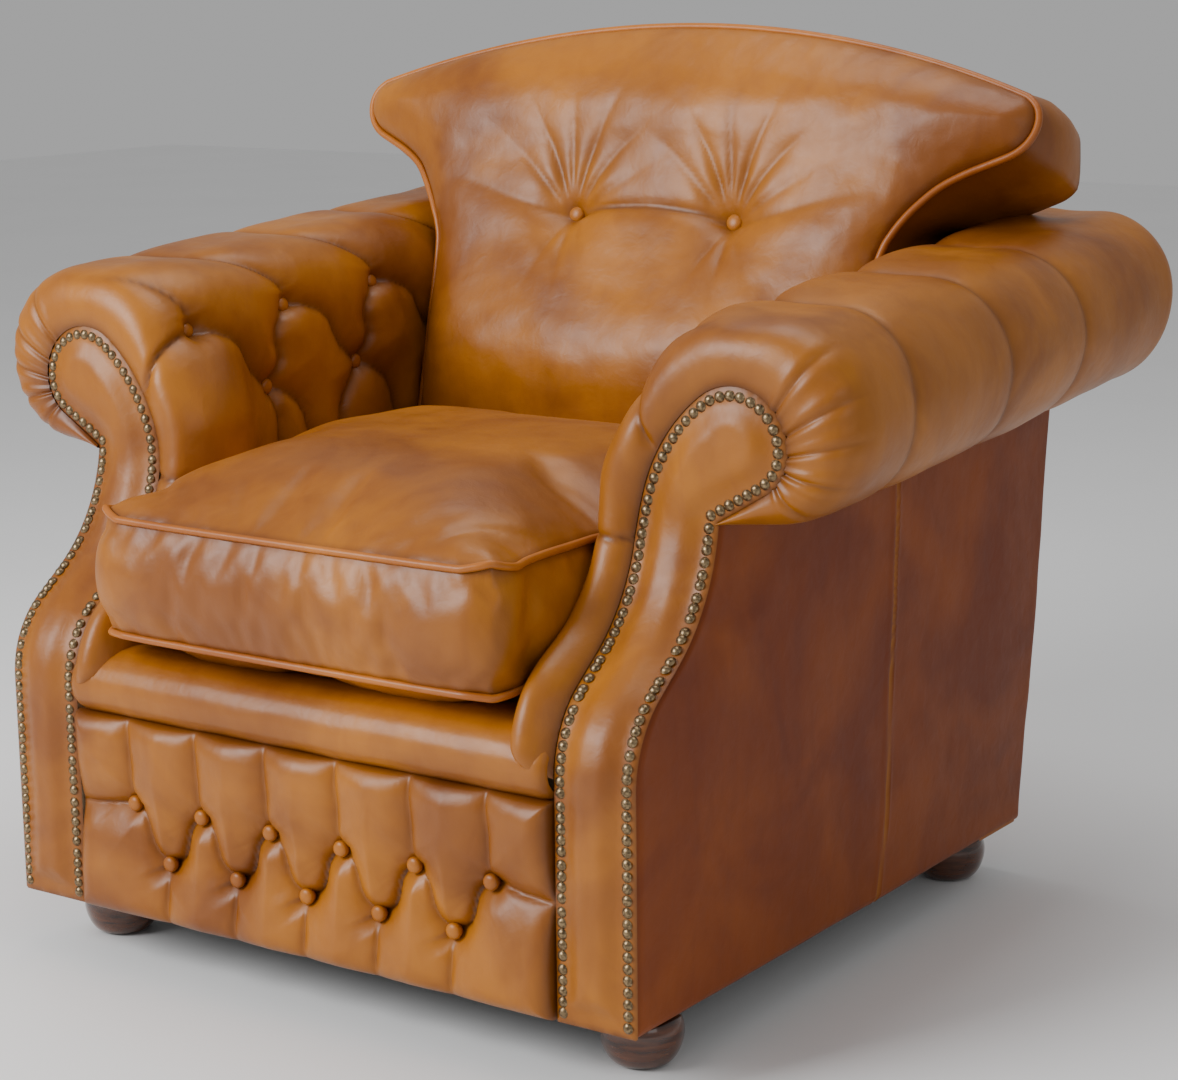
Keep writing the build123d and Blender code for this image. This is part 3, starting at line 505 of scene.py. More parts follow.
def arm_relief(depth, s):
    """How far the leather stands out from the plain arm, and how much painted shade it gets in its
    creases and dimples.
    """
    nearest = np.full(depth.shape, 1.0)
    fold = np.zeros(depth.shape)
    shade = np.zeros(depth.shape)

    def crease_and_painted_shade(distance, side, deep, reach, width):
        nonlocal nearest, fold, shade
        distance = np.sqrt(distance ** 2 + 0.0018 ** 2)
        wide = np.where(side > 0, width, 0.005)
        fold = np.minimum(fold, -deep * reach * np.exp(-distance / wide))
        nearest = np.minimum(nearest, distance + 0.05 * (1 - reach))
        shade = np.maximum(shade, 0.95 * reach * np.exp(-distance / 0.0040))

    rows = ARM_BUTTONS
    links = [(rows[0][k], rows[1][k], 1) for k in range(3)]
    links += [(rows[0][k + 1], rows[1][k], -1) for k in range(3)]
    links += [(rows[1][k], rows[2][k], 1) for k in range(2)]
    links += [(rows[1][k + 1], rows[2][k], -1) for k in range(2)]
    links += [(rows[1][0], (0.300, 0.0), 1), (rows[2][0], (0.400, 0.0), 1)]
    for a, b, bend in links:
        dx, ds = b[0] - a[0], b[1] - a[1]
        t = np.linspace(0, 1, 8)
        sway = 0.010 * bend * np.sin(2 * math.pi * t) + 0.008 * bend * np.sin(math.pi * t)
        run = np.stack([a[0] + dx * t + sway, a[1] + ds * t + 0.3 * sway], 1)
        for p, q in zip(run[:-1], run[1:]):
            distance, side, _ = segment_distance(depth, s, p, q)
            crease_and_painted_shade(distance, side * bend, 0.0090, 1.0, 0.012)
    for pleat in ROLL_PLEATS:
        across = depth - pleat_depth(pleat, s)
        reach = smooth((s - ROW_S[0]) / 0.02)
        reach = reach * (1 - 0.35 * smooth((s - S_TOP) / 0.15))
        crease_and_painted_shade(np.abs(across), np.sign(across), 0.0048, reach, 0.007)
    over = smooth((s - S_TOP + 0.10) / 0.12)
    puff = (0.0120 - 0.0080 * over) * (1 - np.exp(-(nearest / 0.034) ** 1.3))
    puff = puff - 0.004 - 0.004 * over - 0.003 * smooth((depth - 0.5) / 0.3) * over
    dimple = np.zeros(depth.shape)
    for row in rows:
        for d, at in row:
            r = np.hypot(depth - d, s - at)
            dimple = np.maximum(dimple, bump(r, 0.015))
            shade = np.maximum(shade, 0.8 * bump(r, 0.010))
    return puff + fold - 0.011 * dimple, shade


def front_edge(s):
    """Where the padded border starts on the facing's edge, for arc length s of the section."""
    line, along, marks = facing_line(FACING_MARGIN, WALL_LOW_Z)
    turn_s = WALL_LENGTH * (TURN_Z - WALL_LOW_Z) / (ROLL_Z - WALL_LOW_Z)
    stations = (0, turn_s, S_TOP, S_OUT, S_LOW, ARM_LENGTH)
    targets = (0, marks["turn"], marks["top"], marks["right"], marks["tail"], marks["end"])
    at = np.interp(s, stations, targets)
    return np.interp(at, along, line[:, 0]), np.interp(at, along, line[:, 1])


def border_folds(relief, shade, s, z, on_nose, t_all):
    """Adds the gathers round the scroll head, the fold to the first button and the seam, each with
    painted shade.
    """
    for at, size in GATHERS:
        spread = np.abs(s - at)
        reach = smooth((0.95 - t_all) / 0.7)
        relief = relief - 0.0032 * size * reach * np.exp(-spread / 0.0045)
        relief = relief + 0.0018 * size * reach * bump(spread - 0.012, 0.008)
        shade = np.maximum(shade, 0.55 * size * reach * np.exp(-spread / 0.0022))
    off_fold = s - (0.300 + 0.025 * on_nose)
    reach = smooth(on_nose / 0.15) * (t_all < 1.05)
    wide = np.where(off_fold > 0, 0.0035, 0.0100)
    relief = relief - 0.0075 * reach * np.exp(-np.abs(off_fold) / wide)
    shade = np.maximum(shade, 0.8 * reach * np.exp(-np.abs(off_fold) / 0.0028))
    off_seam = np.abs(z - SEAM_Z) + 1.0 * (s > WALL_LENGTH) + 1.0 * (t_all > 2.0)
    relief = relief - 0.004 * np.exp(-off_seam / 0.0035)
    shade = np.maximum(shade, 0.8 * np.exp(-off_seam / 0.0030))
    return relief, shade


def arm_end(grid, s):
    """Rows of points that round off and close the arm's rear end."""
    ring = grid[-1]
    inward = grid_normals(grid)[-1]
    rows = []
    for a in np.linspace(0, math.pi / 2, 10)[1:]:
        rows.append(ring + inward * REAR_ROUND_R * (1 - math.cos(a))
                    + np.array([0, REAR_ROUND_R * math.sin(a), 0]))
    last = rows[-1]
    spine_x = np.clip(last[:, 0], PANEL_X - 0.004, ROLL_OUT_X + 0.02)
    spine_z = np.where(s < WALL_LENGTH, last[:, 2], ROLL_Z + 0.047)
    spine = np.stack([spine_x, last[:, 1] + 0.003, spine_z], 1)
    rows += [last + (spine - last) * k / 6 for k in range(1, 7)]
    return np.array(rows)


def arm_cover():
    """Tufted inner arm, roll and padded front border of the right arm, as one leather skin."""
    around, nose, length = 232, 18, 172
    s = np.linspace(0, ARM_LENGTH, around)
    edge_x, edge_z = front_edge(s)
    _, z0 = arm_section(s, np.full(around, SWEEP_DEPTH))
    edge_depth = sweep(edge_z)
    start = sweep(np.minimum(z0, 0.56)) + NOSE_LENGTH
    end = REAR_FOOT_DEPTH + REAR_RAKE * (z0 + 0.045 - BASE_Z) - 0.030
    end = WALL_END + (end - WALL_END) * smooth((s - 0.185) / 0.03)

    foot = quarter_round(z0 - WALL_LOW_Z, 0.022)
    low_arm = COLUMN_SWELL * smooth(1 - (s - WALL_LENGTH * 0.78) / 0.11)
    slope = np.arctan((sweep(edge_z + 0.002) - sweep(edge_z - 0.002)) / 0.004)
    swell = 0.012 + 0.010 * smooth(1 - (s - WALL_LENGTH * 0.9) / 0.15)
    swell = (swell + 0.012 * smooth(1 - (z0 - 0.355) / 0.06)) * (0.15 + 0.85 * foot)
    rows = []
    t_nose = np.linspace(0, 1, nose)
    for t in t_nose:
        angle = t * math.pi / 2
        depth = edge_depth + (start - edge_depth) * (1 - math.cos(angle))
        x1, z1 = arm_section(s, start)
        x1 = x1 - low_arm * foot
        x = edge_x + (x1 - edge_x) * math.sin(angle)
        z = edge_z + (z1 - edge_z) * math.sin(angle)
        proud = swell * math.sin(2 * angle) + 0.001
        rows.append(np.stack([x, FACE + depth - proud * np.cos(slope),
                              z + proud * np.sin(slope) * smooth(low_arm / 0.01)], 1))
    for t in np.linspace(0, 1, length)[1:]:
        depth = start + (end - start) * t
        x, z = arm_section(s, depth)
        x = x - low_arm * foot * bump(depth - start, 0.060)
        rows.append(np.stack([x, FACE + depth, z], 1))
    grid = np.array(rows)

    depth = grid[:, :, 1] - FACE
    s_grid = np.broadcast_to(s, depth.shape)
    relief, shade = arm_relief(depth, s_grid)
    on_nose = np.concatenate([t_nose, np.ones(length - 1)])[:, None]
    relief = relief * smooth((on_nose - 0.55) / 0.45)
    shade = shade * smooth((on_nose - 0.35) / 0.5)

    t_rest = np.linspace(0, 1, length)[1:] * 9
    t_all = on_nose + np.concatenate([np.zeros(nose), t_rest])[:, None]
    relief, shade = border_folds(relief, shade, s_grid, grid[:, :, 2], on_nose, t_all)
    relief = relief + 0.0016 * noise_at(grid, 16, 3.0) * smooth(on_nose * 2)
    shade = np.maximum(shade, 0.7 * np.exp(-on_nose / 0.07))
    grid = grid - grid_normals(grid) * relief[:, :, None]
    end_rows = arm_end(grid, s)
    grid = np.concatenate([grid, end_rows])
    shade = np.concatenate([shade, np.zeros(end_rows.shape[:2])])
    return grid_object("arm_cover_right", grid, shade=shade)


def arm_button_places():
    """Centre and outward direction of each button of the right arm."""
    places = []
    for row in ARM_BUTTONS:
        for d, s in row:
            x, z = arm_section(np.array([s - 0.002, s, s + 0.002]), d)
            out = Vector((-(z[2] - z[0]), 0, x[2] - x[0])).normalized()
            places.append((Vector((x[1], FACE + d, z[1])) - out * ARM_BUTTON_SINK, out))
    return places


def buttons(name, places, radius, height=0.0065):
    """Covered buttons: low domes at each (centre, outward direction), in one mesh."""
    dome = ((0.93, -0.004 / height), (1, 0), (0.985, 0.30), (0.90, 0.58), (0.70, 0.82),
            (0.40, 0.96), (0.12, 1))
    return turned(name, [(radius * r, height * h) for r, h in dome], places, 28)


# ---- facings ----
def filled_outline(line, spacing):
    """Triangles inside a closed dense outline, with evenly spaced points; returns them and each
    point's distance from the outline."""
    low, high = line.min(0), line.max(0)
    xs = np.arange(low[0] + spacing / 2, high[0], spacing)
    zs = np.arange(low[1] + spacing / 2, high[1], spacing * 0.87)
    inner = []
    count = len(line)
    for row, z in enumerate(zs):
        x = xs + (spacing / 2 if row % 2 else 0)
        inside = np.zeros(len(x), bool)
        for k in range(count):
            (x0, z0), (x1, z1) = line[k], line[(k + 1) % count]
            if (z0 > z) != (z1 > z):
                inside ^= x < x0 + (z - z0) * (x1 - x0) / (z1 - z0)
        far = outline_distance(x, np.full(len(x), z), line) > spacing * 0.55
        inner += [(a, z) for a in x[inside & far]]
    everything = [Vector(p) for p in line] + [Vector(p) for p in inner]
    edges = [(k, (k + 1) % count) for k in range(count)]
    points, _, faces, _, _, _ = geometry.delaunay_2d_cdt(everything, edges, [], 1, 1e-6)
    flat = np.array([tuple(p) for p in points])
    return flat, faces, outline_distance(flat[:, 0], flat[:, 1], line)


def facing():
    """Padded leather facing of the right arm front, plumpest inside the nails."""
    line, _, _ = facing_line(FACING_MARGIN, BASE_Z)
    closed = np.concatenate([line, [(NAIL_OUT_X + FACING_MARGIN, BASE_Z)]])
    closed = resample(np.concatenate([closed, closed[:1]]), 300)[:-1]
    flat, faces, distance = filled_outline(closed, 0.0055)
    plump = 0.0030 * smooth(distance / 0.005) + 0.0085 * smooth((distance - 0.012) / 0.026)
    points = np.stack([flat[:, 0], FACE + sweep(flat[:, 1]) - plump, flat[:, 1]], 1)
    ripple = noise_at(points, 26, 7.0) * 0.0012 + noise_at(points, 70, 2.0) * 0.0004
    points[:, 1] -= ripple * smooth(distance / 0.02)
    shade = 0.55 * np.exp(-distance / 0.003)
    obj = mesh_object("facing_cover_right", points, faces, shade)
    if obj.data.polygons[0].normal.y > 0:
        obj.data.flip_normals()
    return obj


# ---- outside arm panel ----
STITCH_PITCH = 0.0075
PANEL_SEAM = ((0.452, 0.066), (0.464, 0.160), (0.470, 0.303), (0.478, 0.442), (0.481, 0.560))


def outside_arm():
    """Outer side panel of the right arm, with its stitched join."""
    u, v = plane((0, 1), (0, 1), 200, 130)
    top = 0.523 + ROLL_RISE * u * 0.75
    z = BASE_Z + (top - BASE_Z) * v
    front = sweep(z) + 0.0005
    rear = REAR_FOOT_DEPTH + REAR_RAKE * (z - BASE_Z) - 0.001
    depth = front + (rear - front) * u
    seam_depth, seam_z = zip(*PANEL_SEAM)
    across = depth - np.interp(z, seam_z, seam_depth)
    edge = np.minimum(np.minimum(depth - front, rear - depth), z - BASE_Z)
    x = PANEL_X - 0.006 + 0.006 * smooth(edge / 0.010) ** 0.5 + 0.004 * smooth(edge / 0.12)
    points = np.stack([x, FACE + depth, z], 2)
    x = x + 0.0022 * noise_at(points, 5.0, 11.0) + 0.0008 * noise_at(points, 22, 4.0)
    x = x + 0.0016 * bump(across - 0.0035, 0.003) + 0.0010 * bump(across + 0.006, 0.004)
    x = x - 0.0022 * np.exp(-np.abs(across) / 0.0012)
    stitch_on = 0.5 + 0.5 * np.sign(np.sin(z * 2 * math.pi / STITCH_PITCH))
    x = x - 0.0007 * bump(across - 0.006, 0.0010) * stitch_on
    shade = 0.75 * np.exp(-(across / 0.0018) ** 2)
    points = np.stack([x, FACE + depth, z], 2)
    return grid_object("outside_arm_cover_right", points, flip=True, shade=shade)


# ---- front panel and lip ----
PANEL_HALF = 0.3045
PANEL_PROUD = 0.004
FRONT_TOP = 0.277
UPPER_ROW = [((k - 2.5) * 0.092, 0.185) for k in range(6)]
LOWER_ROW = [((k - 2) * 0.092, 0.127) for k in range(5)]


def front_relief(x, z):
    """Tufting of the front panel: how far it stands out, and how much painted shade it gets in its
    creases and dimples.
    """
    nearest = np.full(x.shape, 1.0)
    fold = np.zeros(x.shape)
    shade = np.zeros(x.shape)

    def crease_and_painted_shade(line, deep, fade, width=0.0110, soft=0.0):
        nonlocal nearest, fold, shade
        for k in range(len(line) - 1):
            distance, side, t = segment_distance(x, z, line[k], line[k + 1])
            reach = 1 - fade * (k + t) / (len(line) - 1)
            wide = np.where(side > 0, width, 0.0035)
            fold = np.minimum(fold, -deep * reach * np.exp(-distance / wide))
            nearest = np.minimum(nearest, distance + soft + 0.03 * (1 - reach))
            dark = 0.80 if deep > 0.010 else 0.45
            shade = np.maximum(shade, dark * reach * np.exp(-distance / 0.0022))

    def s_line(a, b, bend):
        """S-shaped run from button to button."""
        t = np.linspace(0, 1, 9)
        sway = bend * np.sin(2 * math.pi * t)
        dx, dz = b[0] - a[0], b[1] - a[1]
        length = math.hypot(dx, dz)
        return [(a[0] + dx * k - dz / length * w, a[1] + dz * k + dx / length * w)
                for k, w in zip(t, sway)]

    def pleat(button, mid_z, end_z, fade):
        """Shallow pleat from a button to the panel's edge."""
        x0 = button[0]
        crease_and_painted_shade([button, (x0 + 0.002, mid_z), (x0 - 0.001, end_z)], 0.0045, fade, 0.006, 0.012)

    for k, low in enumerate(LOWER_ROW):
        crease_and_painted_shade(s_line(UPPER_ROW[k], low, 0.0055), 0.0045, 0.0, 0.005, 0.004)
        crease_and_painted_shade(s_line(UPPER_ROW[k + 1], low, -0.0060), 0.011, 0.0, 0.012)
        pleat(low, 0.095, BASE_Z, 0.35)
    for high in UPPER_ROW:
        pleat(high, 0.225, FRONT_TOP, 0.25)
    for side in (-1, 1):
        end = UPPER_ROW[-1 if side > 0 else 0]
        crease_and_painted_shade([end, (side * 0.268, 0.180), (side * PANEL_HALF, 0.177)], 0.008, 0.2)
    puff = 0.0185 * (1 - np.exp(-(nearest / 0.032) ** 1.3))
    dimple = np.zeros(x.shape)
    for at in UPPER_ROW + LOWER_ROW:
        r = np.hypot(x - at[0], z - at[1])
        dimple = np.maximum(dimple, bump(r, 0.017))
        shade = np.maximum(shade, 0.55 * bump(r, 0.010))
    return puff + fold - 0.005 * dimple, shade


def front_cover():
    """Deep-buttoned front panel below the seat."""
    x, z = plane((-PANEL_HALF, PANEL_HALF), (BASE_Z + 0.001, FRONT_TOP), 260, 100)
    relief, shade = front_relief(x, z)
    edge = np.minimum(PANEL_HALF - np.abs(x), np.minimum(z - BASE_Z, FRONT_TOP - z))
    rise = quarter_round(edge, 0.024)
    out = (PANEL_PROUD + relief) * rise
    points = np.stack([x, FACE + 0.003 - out, z], 2)
    points[:, :, 1] -= noise_at(points, 45, 5.0) * 0.0010 * rise
    shade = np.maximum(shade, 0.8 * np.exp(-edge / 0.004))
    return grid_object("front_panel_cover", points, shade=shade, flip=True)


LIP_HALF = 0.3035
LIP_SECTION = ((0.110, 0.3455), (0.060, 0.3460), (0.030, 0.3455), (0.014, 0.3425),
               (0.001, 0.3365), (-0.009, 0.3275), (-0.0150, 0.3160), (-0.0165, 0.3040),
               (-0.0135, 0.2920), (-0.0060, 0.2825), (0.0050, 0.2750))


def lip_cover():
    """Rounded lip that the seat cushion rests on."""
    section = resample(LIP_SECTION, 44)
    x = np.linspace(-LIP_HALF, LIP_HALF, 220)
    squeeze = 0.80 + 0.20 * quarter_round(LIP_HALF - np.abs(x), 0.014)
    middle = (0.030, 0.305)
    rows = []
    for d, z in section:
        depth = middle[0] + (d - middle[0]) * squeeze
        height = middle[1] + (z - middle[1]) * squeeze
        rows.append(np.stack([x, FACE + depth, height], 1))
    grid = np.array(rows)
    relief = noise_at(grid, 12, 9.0, (1.0, 1, 1.5)) * 0.0014
    relief += noise_at(grid, 50, 1.0, (0.4, 1, 1)) * 0.0004
    shade = 0.7 * np.exp(-np.abs(grid[:, :, 2] - 0.2755) / 0.003)
    grid = grid - grid_normals(grid) * relief[:, :, None]
    return grid_object("front_lip_cover", grid, shade=shade)


# ---- back ----
BACK_LOW_Z = 0.400
BACK_SIDE = [(0.290, 0.400), (0.293, 0.494), (0.293, 0.600), (0.293, 0.700), (0.299, 0.730),
             (0.3065, 0.745), (0.316, 0.760), (0.330, 0.777), (0.350, 0.796), (0.376, 0.811),
             (0.402, 0.822), (0.427, 0.833), (0.441, 0.846), (0.4465, 0.862), (0.443, 0.877),
             (0.432, 0.887)]
EAR_TOP = BACK_SIDE[-1]
CREST_TOP_Z = 0.957
BACK_DEPTH = ((0.345, 0.545), (0.494, 0.577), (0.700, 0.622), (0.760, 0.640), (0.820, 0.676),
              (0.880, 0.703), (0.960, 0.738))
BACK_REAR = 0.803
BACK_BUTTON_X, BACK_BUTTON_Z = 0.107, 0.746
BACK_BUTTONS = ((-BACK_BUTTON_X, BACK_BUTTON_Z), (BACK_BUTTON_X, BACK_BUTTON_Z))
BACK_RAYS = ((2.50, 0.8), (2.05, 1.0), (1.66, 0.7), (1.27, 1.0), (0.85, 0.9), (0.42, 0.6),
             (-0.85, 0.6), (-1.40, 0.9), (-1.95, 0.7))   # direction and strength of each wrinkle


def curve_through(points, count):
    """Smooth dense line through points (Catmull-Rom), evenly spaced."""
    p = np.asarray(points, float)
    p = np.concatenate([2 * p[:1] - p[1:2], p, 2 * p[-1:] - p[-2:-1]])
    line = []
    for k in range(1, len(p) - 2):
        for t in np.linspace(0, 1, 12, endpoint=False):
            line.append(0.5 * (2 * p[k] + (p[k + 1] - p[k - 1]) * t
                               + (2 * p[k - 1] - 5 * p[k] + 4 * p[k + 1] - p[k + 2]) * t * t
                               + (3 * p[k] - p[k - 1] - 3 * p[k + 1] + p[k + 2]) * t ** 3))
    line.append(p[-2])
    return resample(line, count)


def top_arc(count):
    """The back's top edge from the left ear to the right ear."""
    half, drop = EAR_TOP[0], CREST_TOP_Z - EAR_TOP[1]
    r = arc_radius(half, drop)
    a = math.asin(half / r)
    turn = np.linspace(-a, a, count)
    return np.stack([r * np.sin(turn), CREST_TOP_Z - r + r * np.cos(turn)], 1)


def back_depth(z):
    """Depth of the back's piped edge at heights z."""
    line = curve_through(BACK_DEPTH, 200)
    return np.interp(z, line[:, 0], line[:, 1])


def coons(bottom, top, left, right):
    """Grid filled in between four edge lines, rows going up."""
    rows, cols = len(left), len(bottom)
    v = np.linspace(0, 1, rows)[:, None, None]
    u = np.linspace(0, 1, cols)[None, :, None]
    return ((1 - v) * bottom[None] + v * top[None] + (1 - u) * left[:, None]
            + u * right[:, None] - (1 - u) * (1 - v) * bottom[0] - u * (1 - v) * bottom[-1]
            - (1 - u) * v * top[0] - u * v * top[-1])


def back_grid(rows=150, cols=190):
    """Points (x, z) of the back's face and their distance from its piped edge."""
    side = curve_through(BACK_SIDE, rows)
    left = side * (-1, 1)
    bottom = np.stack([np.linspace(-side[0, 0], side[0, 0], cols),
                       np.full(cols, BACK_LOW_Z)], 1)
    flat = coons(bottom, top_arc(cols), left, side)
    edge = np.concatenate([side, top_arc(cols), left])
    distance = outline_distance(flat[:, :, 0], flat[:, :, 1], edge)
    return flat, distance


def button_creases(x, z, out, shade, round_edge):
    """Adds the crease that joins the back's buttons, their dimples and the wrinkles round them,
    each with painted shade.
    """
    # it arches between the buttons and climbs to the ears outside them
    crease_x = np.linspace(-0.300, 0.300, 61)
    arch = 0.010 * (1 - (crease_x / BACK_BUTTON_X) ** 2)
    climb = 0.030 * smooth((np.abs(crease_x) - BACK_BUTTON_X) / 0.19)
    crease_z = BACK_BUTTON_Z + np.where(np.abs(crease_x) < BACK_BUTTON_X, arch, climb)
    strength = np.interp(np.abs(x), (0, 0.10, 0.13, 0.24, 0.31), (0.75, 1.0, 0.85, 0.35, 0.0))
    off = z - np.interp(x, crease_x, crease_z)
    wide = np.where(off > 0, 0.030, 0.016)
    out = out - 0.012 * strength * np.exp(-np.abs(off) / wide) * round_edge
    between = strength * smooth((0.112 - np.abs(x)) / 0.01)
    out = out - 0.006 * between * np.exp(-np.abs(off) / 0.005)
    shade = np.maximum(shade, 0.35 * strength * np.exp(-np.abs(off) / 0.004))
    shade = np.maximum(shade, 0.80 * between * np.exp(-np.abs(off) / 0.003))
    for bx, bz in BACK_BUTTONS:
        r = np.hypot(x - bx, z - bz)
        angle = np.arctan2(z - bz, x - bx)
        out = out - 0.016 * bump(r, 0.034) - 0.007 * bump(r, 0.015)
        rays = np.zeros(x.shape)
        for at, size in BACK_RAYS:
            turn = angle - at - 0.9 * (r - 0.03) * math.cos(3 * at) + math.pi
            turn = turn % (2 * math.pi) - math.pi
            rays = np.maximum(rays, size * np.exp(-np.abs(turn) * (r + 0.01) / 0.0078))
        reach = np.where(z > bz, 0.085, 0.055)
        fade = smooth((r - 0.010) / 0.030) * np.exp(-(r / reach) ** 2) * 1.5
        out = out - 0.0060 * rays * fade
        shade = np.maximum(shade, 0.30 * np.clip(rays * fade, 0, 1) ** 1.5)
        shade = np.maximum(shade, 0.75 * bump(r, 0.013))
    return out, shade


def back_face():
    """Plump inside back: belly below, two buttons above it, and the crest's full roll."""
    flat, distance = back_grid()
    x, z = flat[:, :, 0], flat[:, :, 1]
    heights = np.linspace(0.4, 0.96, 57)
    slope = np.arctan(np.gradient(back_depth(heights), 0.01))
    lean = np.interp(z, heights, slope)
    round_edge = quarter_round(distance, 0.060)
    across = np.clip(1 - (x / 0.32) ** 2, 0, 1)
    belly = 0.046 * bump(z - 0.595, 0.100) * across ** 0.6
    crown = 0.026 * bump(z - 0.862, 0.070) * np.clip(1 - (x / 0.47) ** 4, 0, 1)
    out = round_edge * (0.021 + belly + crown)
    out, shade = button_creases(x, z, out, np.zeros(x.shape), round_edge)
    points = np.stack([x, FACE + back_depth(z), z], 2)
    soft = noise_at(points, 9, 21.0) * 0.0035 + noise_at(points, 24, 8.0, (1, 1, 1.6)) * 0.0012
    out = out + soft * round_edge
    # gathers along the piped edge
    gather = noise_at(points, 60, 31.0) * 0.0018 * np.exp(-distance / 0.030)
    out = out + gather * smooth(distance / 0.006)
    shade = np.maximum(shade, 0.5 * np.exp(-distance / 0.0035))
    points[:, :, 1] -= out * np.cos(lean)
    points[:, :, 2] += out * np.sin(lean)
    return points, shade


def back_loop(count):
    """The back's edge from its lower left corner, up, over and down to the lower right."""
    side = curve_through(BACK_SIDE, count)
    arc = top_arc(count * 2)
    line = np.concatenate([side * (-1, 1), arc[1:-1], side[::-1]])
    return resample(line, count * 4)


def back_pieces():
    """Face, border and piping of the inside back."""
    face_points, shade = back_face()
    face = grid_object("back_face", face_points, shade=shade)

    loop = back_loop(110)
    x, z = loop[:, 0], loop[:, 1]
    front = np.stack([x, FACE + back_depth(z), z], 1)
    tangent = np.gradient(loop, axis=0)
    tangent /= np.linalg.norm(tangent, axis=1, keepdims=True)
    outward = np.stack([-tangent[:, 1], tangent[:, 0]], 1)
    up = smooth((z - 0.72) / 0.08)
    under = up * smooth(-outward[:, 1] / 0.6)
    rear_x = x + np.sign(x) * 0.004 * under
    rear_z = z - 0.030 * up - 0.030 * under
    rear = np.stack([rear_x, np.full(len(x), FACE + BACK_REAR), rear_z], 1)

    def pushed_out(points, by):
        """Points of the edge moved outwards."""
        return points + np.stack([outward[:, 0] * by, np.zeros(len(x)), outward[:, 1] * by], 1)

    steps = np.linspace(0, 1, 16)
    grid = np.array([pushed_out(front + (rear - front) * t,
                                0.009 * math.sin(math.pi * t) * (0.3 + 0.7 * up)) for t in steps])
    across = steps[:, None] * np.ones((1, len(x)))
    grid[:, :, 2] += noise_at(grid, 40, 14.0) * 0.0014 * np.sin(math.pi * across)
    band_shade = 0.5 * np.maximum(np.exp(-across / 0.06), np.exp(-(1 - across) / 0.05))
    band = grid_object("back_edge_band", grid, shade=band_shade, flip=True)

    # the rear of the ears, closed behind
    middle = rear + (0, 0.006, 0)
    middle[:, 0] = 0.0
    middle[:, 2] = np.clip(rear[:, 2], 0.42, 0.80)
    closing = np.array([rear + (middle - rear) * t for t in np.linspace(0, 1, 12)])
    rear_panel = grid_object("back_rear_panel", closing, flip=True)
    piping = tube("back_edge_piping", pushed_out(front, 0.0020) - (0, 0.0030, 0), 0.0042)
    return face, band, rear_panel, piping


# ---- outside back and crest ----
CREST_SIDE = ((0.062, 0.394), (0.600, 0.394), (0.616, 0.296), (0.665, 0.296), (0.700, 0.330),
              (0.735, 0.350), (0.815, 0.350))


def crest_cover():
    """The outside back and the crest's cover, one panel rolled forward at its edges."""
    arc_half, arc_top, shoulder, turn = 0.350, 0.896, 0.812, 0.016
    r = arc_radius(arc_half, arc_top - shoulder)
    side_z, side_x = zip(*CREST_SIDE)
    lap = np.linspace(math.pi / 2, 0, 9)
    inset_line = [turn * (1 - math.cos(a)) for a in lap] + [0.0, 0.0]
    ahead_line = [turn * (1 - math.sin(a)) for a in lap] + [0.060, 0.100]
    rows_mid, cols_mid = 150, 110
    side_inset = np.concatenate([inset_line[::-1], np.full(cols_mid, turn), inset_line])
    side_ahead = np.concatenate([ahead_line[::-1], np.zeros(cols_mid), ahead_line])
    u = np.concatenate([np.full(len(inset_line), -1.0), np.linspace(-1, 1, cols_mid),
                        np.full(len(inset_line), 1.0)])
    top_inset = np.concatenate([np.full(rows_mid, turn), inset_line])
    top_ahead = np.concatenate([np.zeros(rows_mid), ahead_line])
    v = np.concatenate([np.linspace(0, 1, rows_mid), np.full(len(inset_line), 1.0)])
    rows = []
    for i, part in enumerate(v):
        half = np.interp(BASE_Z + (shoulder - BASE_Z) * part, side_z, side_x)
        x = u * (half - side_inset)
        top = arc_top - r + np.sqrt(r * r - np.clip(np.abs(x), 0, arc_half) ** 2)
        z = BASE_Z + (top - top_inset[i] - BASE_Z) * part
        x = u * (np.interp(np.minimum(z, shoulder), side_z, side_x) - side_inset)
        forward = np.maximum(side_ahead, top_ahead[i])
        depth = REAR_FOOT_DEPTH + REAR_RAKE * (z - BASE_Z) - forward
        rows.append(np.stack([x, FACE + depth, z], 1))
    grid = np.array(rows)
    edge = np.minimum(0.39 - np.abs(grid[:, :, 0]), grid[:, :, 2] - BASE_Z)
    flat_part = (side_ahead[None, :] == 0) & (top_ahead[:, None] == 0)
    soft = noise_at(grid, 5, 17.0) * 0.003 + noise_at(grid, 20, 27.0) * 0.0008
    grid[:, :, 1] += soft * flat_part * smooth(edge / 0.03) - 0.001
    shade = 0.4 * np.exp(-np.clip(edge, 0, 1) / 0.004)
    return grid_object("outside_back_cover", grid, shade=shade, flip=True)


# ---- seat cushion ----
CUSHION_HALF = 0.284
CUSHION_FRONT = -0.022
CUSHION_REAR = 0.532
CUSHION_LOW = 0.370
CUSHION_HIGH = 0.490
CORNER_R = 0.042
CUSHION_MID = (CUSHION_FRONT + CUSHION_REAR) / 2
CUSHION_REACH = (CUSHION_REAR - CUSHION_FRONT) / 2


def rounded_plan(x, d):
    """Moves a point of a plain rectangle into one with rounded corners."""
    cx = np.clip(np.abs(x) - (CUSHION_HALF - CORNER_R), 0, None)
    cy = np.clip(np.abs(d - CUSHION_MID) - (CUSHION_REACH - CORNER_R), 0, None)
    both = np.minimum(cx, cy) / CORNER_R
    shrink = 1 - 0.293 * both
    new_x = np.sign(x) * (np.abs(x) - cx + cx * shrink)
    new_d = CUSHION_MID + np.sign(d - CUSHION_MID) * (np.abs(d - CUSHION_MID) - cy + cy * shrink)
    return new_x, new_d


